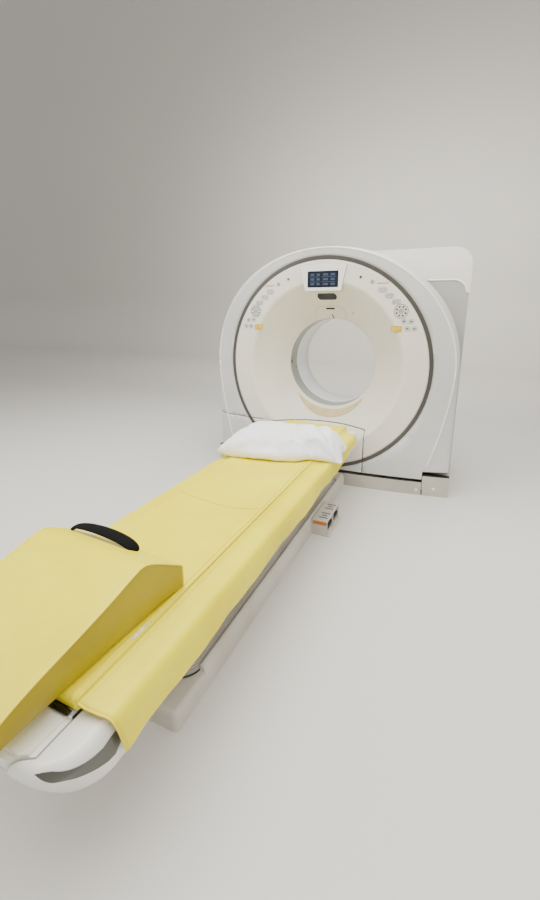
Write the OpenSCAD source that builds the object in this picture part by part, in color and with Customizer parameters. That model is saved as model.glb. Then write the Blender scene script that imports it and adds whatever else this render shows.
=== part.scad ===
// Tilting scanner gantry with a bowed round front, and a lifting patient table.
// All in millimetres. X to the right seen from the table, Y into the gantry, Z up.
// The origin is on the floor straight below the middle of the scan plane.

/* [Gantry housing] */
// height of the scan axis above the floor
axis_z = 970; // [900:1:1050]
// scan plane to the foremost point of the front
front_depth = 368; // [330:1:420]
// radius of the bow of the front, seen from above
bow_r = 5700; // [3000:50:9000]
// half of the width of the round housing
housing_half = 1010; // [960:1:1060]
// rise of the round housing above the scan axis
housing_rise = 901; // [860:1:940]
// how far the front's edge line lies inside the outline at the sides
crease_in = 25; // [10:1:50]
// how far the front's edge line lies inside the outline at the top
crease_drop = 11; // [6:1:30]
// how far the edge line leans in at the foot
crease_lean = 165; // [60:1:200]
// depth of the bevel behind the edge line
bevel_depth = 20; // [10:1:50]
// thickness of the moulded covers
skin = 6; // [4:0.5:10]
// scan plane to the back of the round housing
drum_back = 76; // [60:1:84]
// lower edge of the tilting front above the floor
body_low = 130; // [122:1:160]
// width of the shoulders at the foot, in from the outline
shoulder_w = 186; // [160:1:220]

/* [Front cover] */
// width of the outer band at the height of the axis
band_w = 175; // [150:1:190]
// width of the dark ring
ring_w = 27; // [20:1:40]
// depth of the groove that holds the ring
groove = 3.5; // [2:0.5:4]
// how far the ring stands proud
ring_proud = 2; // [1:0.5:4]
// radius of the tunnel
throat_r = 375; // [350:1:390]
// half of the length of the scan window band
window_half = 75; // [60:1:90]
// width of the flat band between the ring and the funnel
flat_w = 163; // [140:1:190]
// height of the split above the floor
split_z = 480; // [440:1:520]
// split's upright gap to the right of the middle
split_x = 365; // [300:1:420]
// width of the split
split_gap = 6; // [3:1:10]
// depth of the side return of the lower cover behind the scan front
lower_back = 240; // [200:1:260]
// half of the width of the display's screen
screen_half = 120; // [100:1:130]
// height of the display's screen
screen_h = 117; // [90:1:125]

/* [Rear housing] */
// scan plane to the rear face
rear_depth = 482; // [440:1:540]
// how far the rear housing stands out beyond the round one at the right
rear_overhang = 8; // [2:1:40]
// how far the rear housing's top lies below the round one's
rear_drop = 3; // [0:1:30]
// corner radius of the rear housing
rear_corner = 130; // [80:1:180]
// shelf line below the rear housing's top
shelf_drop = 233; // [180:1:280]
// radius of the shelf line's fall at the side
shelf_round = 100; // [60:1:110]
// overhang of the top cap
cap_lip = 6; // [3:1:10]
// widening of the rear mouth from the tunnel
mouth_w = 65; // [40:1:90]
// length of the plain tunnel liner
liner_len = 255; // [200:1:280]

/* [Base and tilt] */
// gap between the tilting covers and the fixed base
base_gap = 18; // [14:1:24]
// height of the side blocks
block_top = 168; // [150:1:175]
// how far the side blocks stand out beyond the round housing
block_overhang = 10; // [6:1:50]
// gap between the plinth and the side blocks
block_seam = 4; // [2:1:8]
// height of the floor frame's rails under the stands
rail_top = 60; // [50:1:80]
// height of the floor frame's cross bars
bar_top = 45; // [30:1:46]
// depth of the floor frame's cross bars
bar_depth = 90; // [60:1:100]
// radius of the floor bolt holes
anchor_r = 9; // [6:0.5:12]
// side bolt holes in from the side blocks' outer faces
anchor_in = 35; // [28:1:45]
// depth of the front bolt holes before the pivot
anchor_front = 180; // [150:1:220]
// depth of the rear bolt holes behind the pivot
anchor_rear = 250; // [180:1:300]
// gap between the stands and the housing's outline
stand_gap = 65; // [60:1:80]
// thickness of a stand
stand_t = 75; // [50:1:80]
// radius of the pivot pins
pin_r = 45; // [30:1:60]
// radial clearance of the pivot pins and roller shafts
run_gap = 0.06; // [0.02:0.01:0.1]

/* [Rotor] */
// outer radius of the rotor
rotor_r = 700; // [660:1:715]
// width of the stator around the rotor
stator_w = 44.2; // [30:0.1:48]
// width between the tunnel and the rotor disc's bore
bore_room = 125; // [105:1:140]
// front face of the rotor disc behind the scan plane
rotor_front = 30; // [25:1:40]
// thickness of the rotor disc
rotor_t = 20; // [15:1:25]
// front face of the tilting frame behind the scan plane
frame_front = 90; // [88:1:110]
// thickness of the tilting frame
frame_t = 40; // [30:1:60]
// half of the height of the tilting arms
arm_half = 100; // [70:1:110]
// height of the lugs that carry the rear housing
lug_h = 60; // [40:1:80]
// thickness of the tilting gearbox
gear_t = 50; // [30:1:52]

/* [Table base] */
// half of the width of the table base
base_half = 230; // [215:1:250]
// foot end of the base
base_foot = 2569; // [2500:1:2650]
// gap between the base and the gantry
table_gap = 17; // [10:1:30]
// height of the base's side panels
base_top = 108; // [100:1:116]
// drop from the side panels to the low ledge at the foot
ledge_drop = 26; // [15:1:40]
// length of the low ledge at the foot
ledge_len = 180; // [140:1:240]
// gap between the base's side and the outermost lift cover
cover_side = 24; // [18:1:35]
// distance from the base's foot end to the outermost lift cover
cover_back = 110; // [80:1:140]
// distance from the base's head end to the outermost lift cover
cover_in = 85; // [60:1:120]
// corner radius of the outermost lift cover
cover_round = 90; // [60:1:110]
// step from one lift cover to the next
cover_step = 3; // [2.7:0.1:3.1]
// wall of a lift cover
cover_wall = 2.2; // [2:0.1:2.6]
// height that each lift cover shows when collapsed
cover_show = 10; // [6:1:14]
// top edge of the fixed lift cover below the side panels' top
cover_drop = 15; // [10:1:20]
// width of the outermost column tube
column_w = 150; // [120:1:170]
// wall of a column tube
column_wall = 6; // [4:0.5:8]
// gap between one column tube and the next
column_gap = 0.5; // [0.3:0.1:1]
// distance from the ends of the lift covers to the columns' middles
column_in = 320; // [250:5:500]
// foot end of the pedal box
pedal_foot = 1179; // [1100:1:1300]
// length of the pedal box
pedal_len = 270; // [240:2:320]
// width of the pedal box
pedal_w = 102; // [90:1:120]
// height of the pedal box
pedal_h = 103; // [96:1:106]
// wall of the pedal box
pedal_wall = 6; // [4:0.5:8]

/* [Table top] */
// foot end of the table's frame
frame_foot = 3049; // [3000:1:3100]
// distance from the base's head end to the frame's
frame_in = 29; // [20:1:60]
// underside of the table's frame
frame_low = 372; // [360:1:390]
// height of the table's frame
frame_h = 116; // [100:1:130]
// width of the frame's rails beside the cradle
rail_w = 80; // [60:1:100]
// corner radius of the frame's foot end in plan
frame_round = 105; // [80:1:130]
// width of the frame's rounded shoulder
shoulder_in = 22; // [12:1:30]
// height of the frame's rounded shoulder
shoulder_h = 34; // [20:1:45]
// half of the width of the cradle
cradle_half = 243; // [225:1:255]
// depth of the channel that the cradle lies in
channel_h = 38; // [34:1:42]
// height of the cradle
cradle_h = 50; // [44:1:54]
// gap beside the cradle
cradle_gap = 5; // [3:1:8]
// distance from the frame's head end to the cradle's
cradle_in = 18; // [10:1:40]
// length of the cradle's end cap
cap_len = 119; // [90:1:150]
// thickness of the mat
mat_t = 35; // [25:1:45]
// radius of the cradle's roller
roller_r = 19.6; // [15:0.1:19.7]
// distance of the roller from the scan plane
roller_at = 600; // [560:5:700]
// width of the wedge cushion
wedge_w = 450; // [400:1:470]
// length of the wedge cushion
wedge_len = 595; // [550:1:640]
// height of the wedge cushion
wedge_h = 182; // [150:1:200]
// width of the pillow
pillow_w = 700; // [600:1:750]
// length of the pillow
pillow_len = 520; // [450:1:560]
// thickness of the pillow
pillow_t = 135; // [90:1:150]
// distance from the pillow's foot edge to the scan plane
pillow_foot = 1359; // [1250:1:1450]

/* [Hidden] */
$fn = 120;
far = 2 * housing_half;
front_y = -front_depth;
ring_out = housing_half - band_w;
ring_in = ring_out - ring_w;
shoulder_x = housing_half - shoulder_w;
lip = 0.2;

// the rear housing
rear_half = housing_half + rear_overhang;
rear_rise = housing_rise - rear_drop;
shelf_rise = rear_rise - shelf_drop;
mouth_r = throat_r + mouth_w;

// the fixed base and the stands
block_r = axis_z - body_low;
sweep_r = block_r - base_gap;
block_half = housing_half + block_overhang;
block_in = shoulder_x + block_seam;
plinth_top = body_low - base_gap;
plinth_rear_top = axis_z - sqrt(block_r * block_r - rear_depth * rear_depth) - 12;
anchor_x = block_half - anchor_in;
bar_back = front_y + 120;
plate_t = 8;
panel_back = front_y + bow_r;
stand_out = housing_half - stand_gap;
stand_in = stand_out - stand_t;
stand_foot = rear_depth - 62;
spine_half = 100;

// the rotor and its frame
frame_back = frame_front + frame_t;
frame_r = rotor_r + stator_w + 5.8;
rotor_in = throat_r + bore_room;
rotor_w = rotor_r - rotor_in;
tube_r = 0.4 * rotor_w;
tube_at = rotor_in + 0.45 * rotor_w;

// the funnel from the tunnel to the front, and a little before it
funnel_r = ring_in - flat_w;
funnel_w = funnel_r - throat_r;
funnel_d = front_depth - window_half - 13;
bezel_low = funnel_r - 63;
funnel = [for (p = [[0, 0], [0.24, 0.218], [0.611, 0.582], [1, 1], [1.278, 1.304]])
  [throat_r + p[0] * funnel_w, -window_half - p[1] * funnel_d]];

// the table's base
stages = 5;
base_head = front_depth + table_gap;
panel_foot = base_foot - ledge_len;
ledge_top = base_top - ledge_drop;
cover_half = base_half - cover_side;
cover_foot = base_foot - cover_back;
cover_head = base_head + cover_in;
cover_low = base_top - cover_drop;
bay_len = (pedal_len - 3 * pedal_wall) / 2;

// the table's top
frame_head = base_head + frame_in;
frame_top = frame_low + frame_h;
frame_half = cradle_half + cradle_gap + rail_w;
channel_half = cradle_half + cradle_gap;
cradle_low = frame_top - channel_h;
channel_floor = cradle_low - 0.5;
cradle_top = cradle_low + cradle_h;
cradle_head = frame_head + cradle_in;
cap_end = frame_foot - 5;
cradle_foot = cap_end - cap_len;
mat_top = cradle_top + mat_t;
mat_left = cradle_half - 10;
mat_right = cradle_half + 12;
wedge_foot = cradle_foot + 164;
wedge_turn = -2.8;

// places of the controls: distance in from the dark ring, and angle above the axis
rocker_spots = [[71.6, 52.7], [72.6, 47.6], [67.5, 42.5]];
key_spots = [[100.4, 30.8], [58, 28.7], [102.3, 26.06], [58.8, 24.4]];
stop_spot = [159.3, 28.1];
rocker_size = [67, 36];
label_spot = [171.6, 28.7];
label_size = [76, 42];
pad_r = 52;
key_r = 19;

// Helpers

// a profile with x as radius and y as depth, turned about the scan axis
module round_y() translate([0, 0, axis_z]) rotate([-90, 0, 0]) rotate_extrude() children();

// an outline in x and height, drawn out from depth y0 to y1
module plate_y(y0, y1) translate([0, y1, 0]) rotate([90, 0, 0])
  linear_extrude(y1 - y0) children();

module block(x0, x1, y0, y1, z0, z1) translate([x0, y0, z0])
  cube([x1 - x0, y1 - y0, z1 - z0]);

module tube_y(r0, r1, y0, y1) round_y() polygon([[r0, y0], [r1, y0], [r1, y1], [r0, y1]]);

module rod_x(r, x0, x1, y, z) translate([x0, y, z]) rotate([0, 90, 0])
  cylinder(r = r, h = x1 - x0);

module both() { children(); mirror([1, 0, 0]) children(); }

// everything behind the bowed front, moved back by d
module bow(d = 0) translate([0, panel_back + d, -60]) cylinder(r = bow_r, h = far, $fn = 720);

function bow_y(x) = front_y + bow_r - sqrt(bow_r * bow_r - x * x);

// a place on the bowed front, facing outwards along -Y
module on_front(x, z) translate([0, panel_back, z]) rotate([0, 0, asin(x / bow_r)])
  translate([0, -bow_r, 0]) children();

// a flat piece on the front, from back to proud millimetres before it
module on_plate(x, z, back, proud) on_front(x, z) translate([0, -back, 0])
  rotate([90, 0, 0]) linear_extrude(proud - back) children();

// the same at a control's place on side s, given as distance in from the ring and angle
module at_spot(s, spot, back, proud)
  on_plate(s * (ring_in - spot[0]) * cos(spot[1]), axis_z + (ring_in - spot[0]) * sin(spot[1]),
    back, proud) children();

function arch(t, a, b, n) = [a * sign(cos(t)) * pow(abs(cos(t)), 2 / n),
  b * pow(abs(sin(t)), 2 / n)];

function ring_of(a, b, n, lean, low) = concat(
  [for (i = [0:64]) arch(180 * i / 64, a, b, n)],
  [for (j = [1:8]) [-a + lean * pow(j / 8, 1.6), -low * j / 8]],
  [for (j = [8:-1:1]) [a - lean * pow(j / 8, 1.6), -low * j / 8]]);

// the round housing with its bevelled front edge, inset all over by d
module drum(d, back, low) {
  outer = ring_of(housing_half - d, housing_rise - d, 2.1, 0, axis_z - low);
  edge = ring_of(housing_half - crease_in - d, housing_rise - crease_drop - d, 2,
    crease_lean, axis_z - low);
  n = len(outer);
  points = concat([for (p = outer) [p[0], back, axis_z + p[1]]],
    [for (p = outer) [p[0], bow_y(p[0]) + bevel_depth + d, axis_z + p[1]]],
    [for (p = edge) [p[0], bow_y(p[0]) - 1 + d, axis_z + p[1]]],
    [for (p = edge) [p[0], front_y - 30, axis_z + p[1]]],
    [[0, back, axis_z], [0, front_y - 30, axis_z]]);
  faces = concat([for (i = [0:n - 1]) [4 * n, i, (i + 1) % n]],
    [for (i = [0:n - 1]) [4 * n + 1, 3 * n + (i + 1) % n, 3 * n + i]],
    [for (k = [0:2], i = [0:n - 1]) [k * n + i, (k + 1) * n + i, (k + 1) * n + (i + 1) % n]],
    [for (k = [0:2], i = [0:n - 1]) [k * n + i, (k + 1) * n + (i + 1) % n, k * n + (i + 1) % n]]);
  intersection() {
    bow(d);
    polyhedron(points = points, faces = faces);
  }
}

// all that lies outside the sweep of the side covers, below the scan axis
module outside_sweep(x_in, r) difference() {
  both() block(x_in, far, -far, far, -far, axis_z);
  rod_x(r, -far - 1, far + 1, 0, axis_z);
}

module housing_shell() difference() {
  drum(0, drum_back, body_low);
  drum(skin, drum_back + 20, body_low - 20);
  outside_sweep(shoulder_x, sweep_r);
  tube_y(0, ring_in, front_y - 40, front_y + 100);
  ring_zone(ring_in, ring_out, groove);
}

// the ring's place in the front, down to depth d
module ring_zone(r0, r1, d) difference() {
  tube_y(r0, r1, front_y - 60, front_y + 120);
  bow(d);
}

// the air before the front cover, held off by g
module front_air(g) round_y() polygon(concat([[0, front_y - 80], [funnel[4][0], front_y - 90]],
  [for (i = [4:-1:0]) [funnel[i][0] - g, funnel[i][1] - g]],
  [[throat_r - g, 10], [0, 10]]));

// all below the lower edge of the tilting front
module below_body() block(-far, far, -far, far, -far, body_low);

module cover_shell(rim) difference() {
  intersection() {
    bow(0);
    tube_y(0, rim, front_y - 5, -window_half);
  }
  front_air(0);
  intersection() {
    bow(skin);
    round_y() polygon(concat([for (p = funnel) [p[0] + 0.72 * skin, p[1] + 0.7 * skin]],
      [[far, funnel[4][1]], [far, 60], [throat_r + 0.72 * skin, 60]]));
  }
  below_body();
}

// the part of the front that comes off at the lower left
module lower_zone(g) block(-far, split_x + g / 2, -far, -lower_back + g / 2,
  -far, split_z + g / 2);

// a thin layer on the funnel, between g and t before it
module on_funnel(g, t) intersection() {
  round_y() polygon(concat([for (p = funnel) [p[0] - g * 0.7, p[1] - g * 0.7]],
    [for (i = [4:-1:0]) [funnel[i][0] - t * 0.7, funnel[i][1] - t * 0.7]]));
  plate_y(front_y, -window_half - 1) children();
}

module pill(w, h) {
  square([w - h, h], center = true);
  for (s = [-1, 1]) translate([s * (w - h) / 2, 0]) circle(r = h / 2, $fn = 48);
}

// a plan outline with four round corners
module round_plan(half, y0, y1, r) {
  translate([-half, y0 + r]) square([2 * half, y1 - y0 - 2 * r]);
  translate([-half + r, y0]) square([2 * half - 2 * r, y1 - y0]);
  for (x = [-half + r, half - r], y = [y0 + r, y1 - r]) translate([x, y]) circle(r = r);
}

// a solid with round corners at its foot end, and a section given by edge: how far each
// point lies inside the outline, and its height, from the underside upwards
module round_foot(half, foot, head, r, edge) {
  low = edge[0][1];
  top = edge[len(edge) - 1][1];
  n = len(edge);
  plate_y(-foot + r, -head) polygon(concat([for (p = edge) [half - p[0], p[1]]],
    [for (i = [n - 1:-1:0]) [-half + edge[i][0], edge[i][1]]]));
  translate([-half + r, -foot, 0]) rotate([90, 0, 90]) linear_extrude(2 * (half - r))
    polygon(concat([for (p = edge) [p[0], p[1]]], [[r + 1, top], [r + 1, low]]));
  for (s = [0, 1]) mirror([s, 0, 0]) translate([half - r, -foot + r, 0]) rotate([0, 0, -90])
    rotate_extrude(angle = 90) polygon(concat([[0, low]], [for (p = edge) [r - p[0], p[1]]],
      [[0, top]]));
}

// Fixed base of the gantry

module base_frame() color("dimgray") difference() {
  union() {
    intersection() {
      bow(skin);
      union() {
        both() block(block_in + skin, block_half - skin, front_y, rear_depth - skin, 0, rail_top);
        block(-block_in - skin, block_in + skin, front_y, bar_back, 0, bar_top);
      }
    }
    block(-block_in - skin, block_in + skin, rear_depth - skin - bar_depth, rear_depth - skin,
      0, bar_top);
    block(-spine_half, spine_half, -base_head, rear_depth - skin, 0, plate_t);
  }
  for (x = [-anchor_x, anchor_x], y = [-anchor_front, anchor_rear])
    translate([x, y, -1]) cylinder(r = anchor_r, h = rail_top + 2, $fn = 48);
}

module stand_shape() {
  eye = pin_r + 60;
  translate([0, axis_z]) circle(r = eye);
  polygon([[-eye + 10, axis_z - 20], [stand_foot - 180, rail_top], [stand_foot, rail_top],
    [eye - 3, axis_z + 20]]);
}

module stands() color("slategray") both() difference() {
  translate([stand_in, 0, 0]) rotate([90, 0, 90]) linear_extrude(stand_t) stand_shape();
  rod_x(pin_r + run_gap, stand_in - 1, stand_out + 1, 0, axis_z);
}

module plinth_front() color("gainsboro") difference() {
  intersection() {
    bow(0);
    block(-shoulder_x, shoulder_x, front_y - 5, bar_back - 30, 0, plinth_top);
  }
  bow(skin);
  block(-spine_half - 0.5, spine_half + 0.5, front_y - 5, bar_back, -1, plate_t + 0.5);
}

module plinth_rear() color("gainsboro")
  block(-shoulder_x, shoulder_x, rear_depth - skin, rear_depth, 0, plinth_rear_top);

module side_block(d) difference() {
  intersection() {
    bow(d);
    block(block_in + d, block_half - d, front_y, rear_depth - d, -d, block_top - d);
  }
  rod_x(block_r + d, -far, far, 0, axis_z);
}

module side_blocks() color("gainsboro") both() difference() {
  side_block(0);
  side_block(skin);
  block(stand_in - 8, stand_out + 12, stand_foot - 280, stand_foot + 10, rail_top, block_top + 1);
  block(block_in - 1, block_in + skin, front_y, bar_back + 0.5, -1, bar_top + 0.5);
  block(block_in - 1, block_in + skin, rear_depth - skin - bar_depth - 0.5, rear_depth - skin,
    -1, bar_top + 0.5);
}

module tilt_gearbox() color("slategray") difference() {
  union() {
    rod_x(2 * pin_r + 2, stand_out, stand_out + gear_t, 0, axis_z);
    block(stand_out, stand_out + gear_t - 4, -pin_r, pin_r, axis_z - 5.4 * pin_r, axis_z - pin_r);
  }
  rod_x(pin_r + run_gap, stand_out - 1, stand_out + gear_t + 1, 0, axis_z);
}

// Tilting gantry

module tilt_frame() color("slategray") {
  ring = (rotor_in - 30 + frame_r) / 2;
  difference() {
    union() {
      tube_y(rotor_in - 30, frame_r, frame_front, frame_back);
      both() block(rotor_r, stand_in - 10, frame_front, frame_back,
        axis_z - arm_half, axis_z + arm_half);
      intersection() {
        union() {
          block(-lug_h, lug_h, frame_front, frame_back, axis_z + rotor_r, axis_z + far);
          both() block(0.8 * frame_r, far, frame_front, frame_back,
            axis_z + frame_r / 2 - lug_h, axis_z + frame_r / 2);
        }
        translate([0, 0, axis_z]) plate_y(0, rear_depth) rear_outline(skin);
      }
    }
    for (a = [15:30:345]) translate([ring * cos(a), 0, ring * sin(a)])
      tube_y(0, 0.18 * (frame_r - rotor_in + 30), frame_front - 1, frame_back + 1);
  }
  both() block(frame_r, stand_in - 10, -80, frame_front, axis_z - arm_half, axis_z + arm_half);
  mirror([1, 0, 0]) rod_x(pin_r, stand_in - 12, stand_out - 2, 0, axis_z);
  rod_x(pin_r, stand_in - 12, stand_out + gear_t - 2, 0, axis_z);
}

module front_cover() color("ivory") difference() {
  cover_shell(ring_in - lip);
  lower_zone(split_gap);
}

module lower_front_cover() color("ivory") {
  intersection() {
    difference() {
      union() {
        cover_shell(ring_in + 0.5);
        housing_shell();
      }
      ring_zone(ring_in, ring_out, groove);
    }
    lower_zone(-split_gap);
  }
  // tabs that hook in behind the upper cover
  hook(-ring_in + 8, -ring_in + 58, split_z - 60, split_z + 30, split_z - split_gap / 2 - 1);
  hook(split_x - 40, split_x + 35, body_low + 10, body_low + 45, axis_z);
}

module hook(x0, x1, z0, z1, z_fused) difference() {
  union() {
    intersection() {
      bow(skin + lip);
      block(x0, x1, front_y, 0, z0, z1);
    }
    intersection() {
      bow(skin - 1);
      block(x0, min(x1, split_x - split_gap / 2 - 1), front_y, 0, z0, min(z1, z_fused));
    }
  }
  bow(skin + 5);
}

module front_housing() color("lightgray") difference() {
  housing_shell();
  lower_zone(split_gap);
}

module ring_trim() color("darkslategray") difference() {
  intersection() {
    tube_y(ring_in + lip, ring_out - lip, front_y - 60, front_y + 120);
    bow(-ring_proud);
  }
  bow(groove);
  difference() { lower_zone(split_gap); lower_zone(-split_gap); }
  below_body();
}

// the rear housing from behind: square at the right, and along the round housing at the left
module rear_outline(d) {
  h = rear_rise - d;
  w = rear_half - d;
  r = rear_corner - d;
  translate([0, -axis_z]) square([w, axis_z + h - r]);
  square([w - r, h]);
  translate([w - r, h - r]) circle(r = r);
  intersection() {
    polygon(ring_of(housing_half - d, housing_rise - d, 2.1, 0, axis_z));
    translate([-far, -axis_z]) square([far + 1, 2 * far]);
  }
}

// what the top cap leaves: the left side, and all below the shelf line lowered by g
module below_shelf(g) {
  corner = rear_half - shelf_round - 18;
  translate([-far, -axis_z]) square([far - g, 2 * far]);
  translate([-1, -axis_z]) square([far, axis_z + shelf_rise - shelf_round - g]);
  translate([-1, 0]) square([corner + 1, shelf_rise - g]);
  translate([corner, shelf_rise - shelf_round - g]) circle(r = shelf_round);
}

module rear_shell(d) translate([0, 0, axis_z]) difference() {
  plate_y(drum_back, rear_depth) rear_outline(-d);
  plate_y(drum_back + skin, rear_depth - skin) rear_outline(skin);
  plate_y(drum_back - 1, drum_back + skin + 1)
    polygon(ring_of(housing_half - skin, housing_rise - skin, 2.1, 0, axis_z));
  translate([0, 0, -axis_z]) tube_y(0, mouth_r + skin + lip, rear_depth - 20, rear_depth + 5);
}

module rear_cover() color("silver") difference() {
  intersection() {
    rear_shell(0);
    translate([0, 0, axis_z]) plate_y(drum_back - 5, rear_depth + 5) below_shelf(0);
  }
  outside_sweep(-1, sweep_r);
}

module rear_top_cover() color("ivory") difference() {
  rear_shell(cap_lip);
  translate([0, 0, axis_z]) plate_y(drum_back - 5, rear_depth + 5) below_shelf(-lip);
}

module rear_bell() color("white") {
  y = window_half + liner_len;
  depth = rear_depth - y;
  round_y() polygon([[throat_r, y], [throat_r + skin, y], [throat_r + skin + 4, y + 0.33 * depth],
    [throat_r + skin + 20, y + 0.63 * depth], [mouth_r + skin, rear_depth - skin],
    [mouth_r + skin, rear_depth], [mouth_r, rear_depth], [throat_r + 18, rear_depth - 0.33 * depth],
    [throat_r + 4, rear_depth - 0.66 * depth]]);
}

module bore_liner() color("white")
  tube_y(throat_r, throat_r + skin, window_half, window_half + liner_len);

module scan_window() color("darkseagreen")
  tube_y(throat_r, throat_r + skin + 1, -window_half, window_half);

// the crescent at the foot of the funnel, between two arcs that meet at its tips
module lip_pad() color("tan") on_funnel(lip, 4) {
  inner = throat_r + 25;
  low = throat_r + 83;
  drop = (low * low - inner * inner) / 2 / (low - inner * cos(46.4));
  difference() {
    translate([0, axis_z - drop]) circle(r = low - drop);
    translate([0, axis_z]) circle(r = inner);
  }
}

module display_bezel() color("whitesmoke") difference() {
  top = axis_z + bezel_low + 196;
  foot = axis_z + bezel_low;
  side = screen_half + 62;
  plate_y(front_y - 6, front_y + 110)
    polygon([[-screen_half - 20, foot], [screen_half + 20, foot], [side, top - 12],
      [screen_half, top - 4], [0, top], [-screen_half, top - 4], [-side, top - 12]]);
  block(-screen_half - 1, screen_half + 1, front_y - 10, front_y - 3,
    foot + 24, foot + 26 + screen_h);
  difference() {
    bow(-lip);
    front_air(lip);
  }
}

module display_screen() color("midnightblue")
  block(-screen_half, screen_half, front_y - 5, front_y - 3, axis_z + bezel_low + 25,
    axis_z + bezel_low + 25 + screen_h);

module funnel_windows() color("black") {
  w = funnel_w;
  on_funnel(lip, 3) translate([0, axis_z + bezel_low - 39]) pill(0.578 * w, 0.17 * w);
  on_funnel(lip, 3) translate([0, axis_z + throat_r + 0.285 * w]) pill(0.28 * w, 0.044 * w);
  on_funnel(lip, 2) translate([8, axis_z + throat_r + 0.056 * w]) rotate(12)
    square([0.026 * w, 0.126 * w], center = true);
  on_funnel(lip, 2) translate([0.7 * w, axis_z + throat_r + 0.152 * w]) circle(r = 4, $fn = 24);
}

// Controls: labels, lamps and film keys of one side

module panel_trim(s) {
  at_spot(s, [76.2, 67.1], lip, 1.6) circle(r = 14, $fn = 32);
  at_spot(s, [69.6, 59.9], lip, 1.6) circle(r = 16, $fn = 32);
  at_spot(s, [36.6, 54.5], lip, 1) square([82, 5], center = true);
  at_spot(s, [81.6, 36.5], lip, 1.2) circle(r = pad_r, $fn = 64);
  for (spot = key_spots) at_spot(s, spot, lip, 1.6) circle(r = key_r, $fn = 32);
  at_spot(s, label_spot, lip, 0.7) square(label_size, center = true);
}

module panel_trim_left() color("gainsboro") panel_trim(-1);
module panel_trim_right() color("gainsboro") panel_trim(1);

module rocker(s, i) color("whitesmoke")
  at_spot(s, rocker_spots[i], 0.95, 4) pill(rocker_size[0], rocker_size[1]);

module rocker_left_1() rocker(-1, 0);
module rocker_left_2() rocker(-1, 1);
module rocker_left_3() rocker(-1, 2);
module rocker_right_1() rocker(1, 0);
module rocker_right_2() rocker(1, 1);
module rocker_right_3() rocker(1, 2);

module stop_button(s) color("gold") at_spot(s, stop_spot, 1.6, 6) circle(r = 14, $fn = 32);
module stop_button_left() stop_button(-1);
module stop_button_right() stop_button(1);

// Drive and rotor

module main_bearing() color("lightsteelblue")
  tube_y(rotor_in + 0.1 * rotor_w, rotor_in + 0.325 * rotor_w, rotor_front + rotor_t + 2, frame_front);

module drive_stator() color("peru")
  tube_y(rotor_r + 0.8, rotor_r + 0.8 + stator_w, rotor_front - 10, frame_front);

module brush_block() color("black") translate([0, 0, axis_z]) rotate([0, -45, 0])
  block(rotor_in + 0.45 * rotor_w, rotor_in + 0.9 * rotor_w, rotor_front + rotor_t + 6.4,
    frame_front, -40, 40);

module rotor_drum() color("gray") difference() {
  hole_at = rotor_in + 0.55 * rotor_w;
  union() {
    tube_y(rotor_in, rotor_r, rotor_front, rotor_front + rotor_t);
    tube_y(rotor_in, rotor_in + 0.1 * rotor_w - run_gap, rotor_front + 1, frame_front - 2);
    tube_y(rotor_r - 14, rotor_r, rotor_front - 20, rotor_front + 1);
    block(-rotor_r + 30, -rotor_in - 40, rotor_front - 90, rotor_front + 1, axis_z - 90, axis_z + 90);
  }
  for (a = [30:30:330]) if (a % 90 != 0) translate([hole_at * cos(a), 0, hole_at * sin(a)])
    tube_y(0, 0.17 * rotor_w, rotor_front - 2, rotor_front + rotor_t + 2);
}

module xray_tube() color("steelblue") {
  translate([0, 0, tube_at]) tube_y(0, tube_r, -125, rotor_front);
  translate([0, 0, tube_at]) tube_y(0, tube_r + 12, -60, -40);
}

module collimator() color("dimgray")
  block(-100, 100, -30, rotor_front, axis_z + throat_r + 27, axis_z + tube_at - tube_r - 12.5);

module detector_array() color("darkslateblue") intersection() {
  tube_y(rotor_in + 0.3 * rotor_w, rotor_in + 0.7 * rotor_w, -40, rotor_front);
  plate_y(-50, rotor_front + 10)
    polygon([[0, axis_z], [-500, axis_z - 720], [500, axis_z - 720]]);
}

module generator() color("steelblue")
  block(rotor_in + 15, rotor_r - 30, -120, rotor_front, axis_z - 110, axis_z + 110);

module slip_ring() color("goldenrod")
  tube_y(rotor_in + 0.425 * rotor_w, rotor_in + 0.95 * rotor_w, rotor_front + rotor_t,
    rotor_front + rotor_t + 6);

// Table base and lift

module side_profile(d) polygon(concat([[base_half - d, d > 0 ? plate_t : 0],
    [base_half - d, 55]],
  [for (a = [10:10:90]) [base_half - 22 + (22 - d) * cos(a), 55 + (base_top - 55 - d) * sin(a)]],
  [[0, base_top - d], [0, d > 0 ? plate_t : 0]]));

// the low ledge's rounded edge in section
ledge_edge = concat([[0, 0], [0, ledge_top - 20]],
  [for (a = [22.5:22.5:90]) [16 * (1 - cos(a)), ledge_top - 20 + 20 * sin(a)]]);

module table_base() color("gainsboro") {
  difference() {
    union() {
      both() plate_y(-panel_foot, -base_head) side_profile(0);
      round_foot(base_half, base_foot, panel_foot - 60, 20, ledge_edge);
    }
    both() plate_y(-panel_foot + 4, -base_head - 4) side_profile(4);
    translate([0, 0, plate_t]) linear_extrude(ledge_top - 24 - plate_t)
      round_plan(base_half - 6, -base_foot + 6, -panel_foot + 20, 16);
    translate([0, 0, plate_t]) linear_extrude(base_top)
      round_plan(cover_half, -cover_foot, -cover_head, cover_round);
    for (x = [80 - base_half, base_half - 80], y = [69 - base_foot, -base_head - 45])
      translate([x, y, -1]) cylinder(r = 7, h = plate_t + 2, $fn = 48);
  }
  translate([0, 0, plate_t]) linear_extrude(cover_low - plate_t) cover_plan(0);
}

module cover_plan(k) difference() {
  d = k * cover_step;
  round_plan(cover_half - d, -cover_foot + d, -cover_head - d, cover_round - d);
  round_plan(cover_half - d - cover_wall, -cover_foot + d + cover_wall,
    -cover_head - d - cover_wall, cover_round - d - cover_wall);
}

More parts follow.
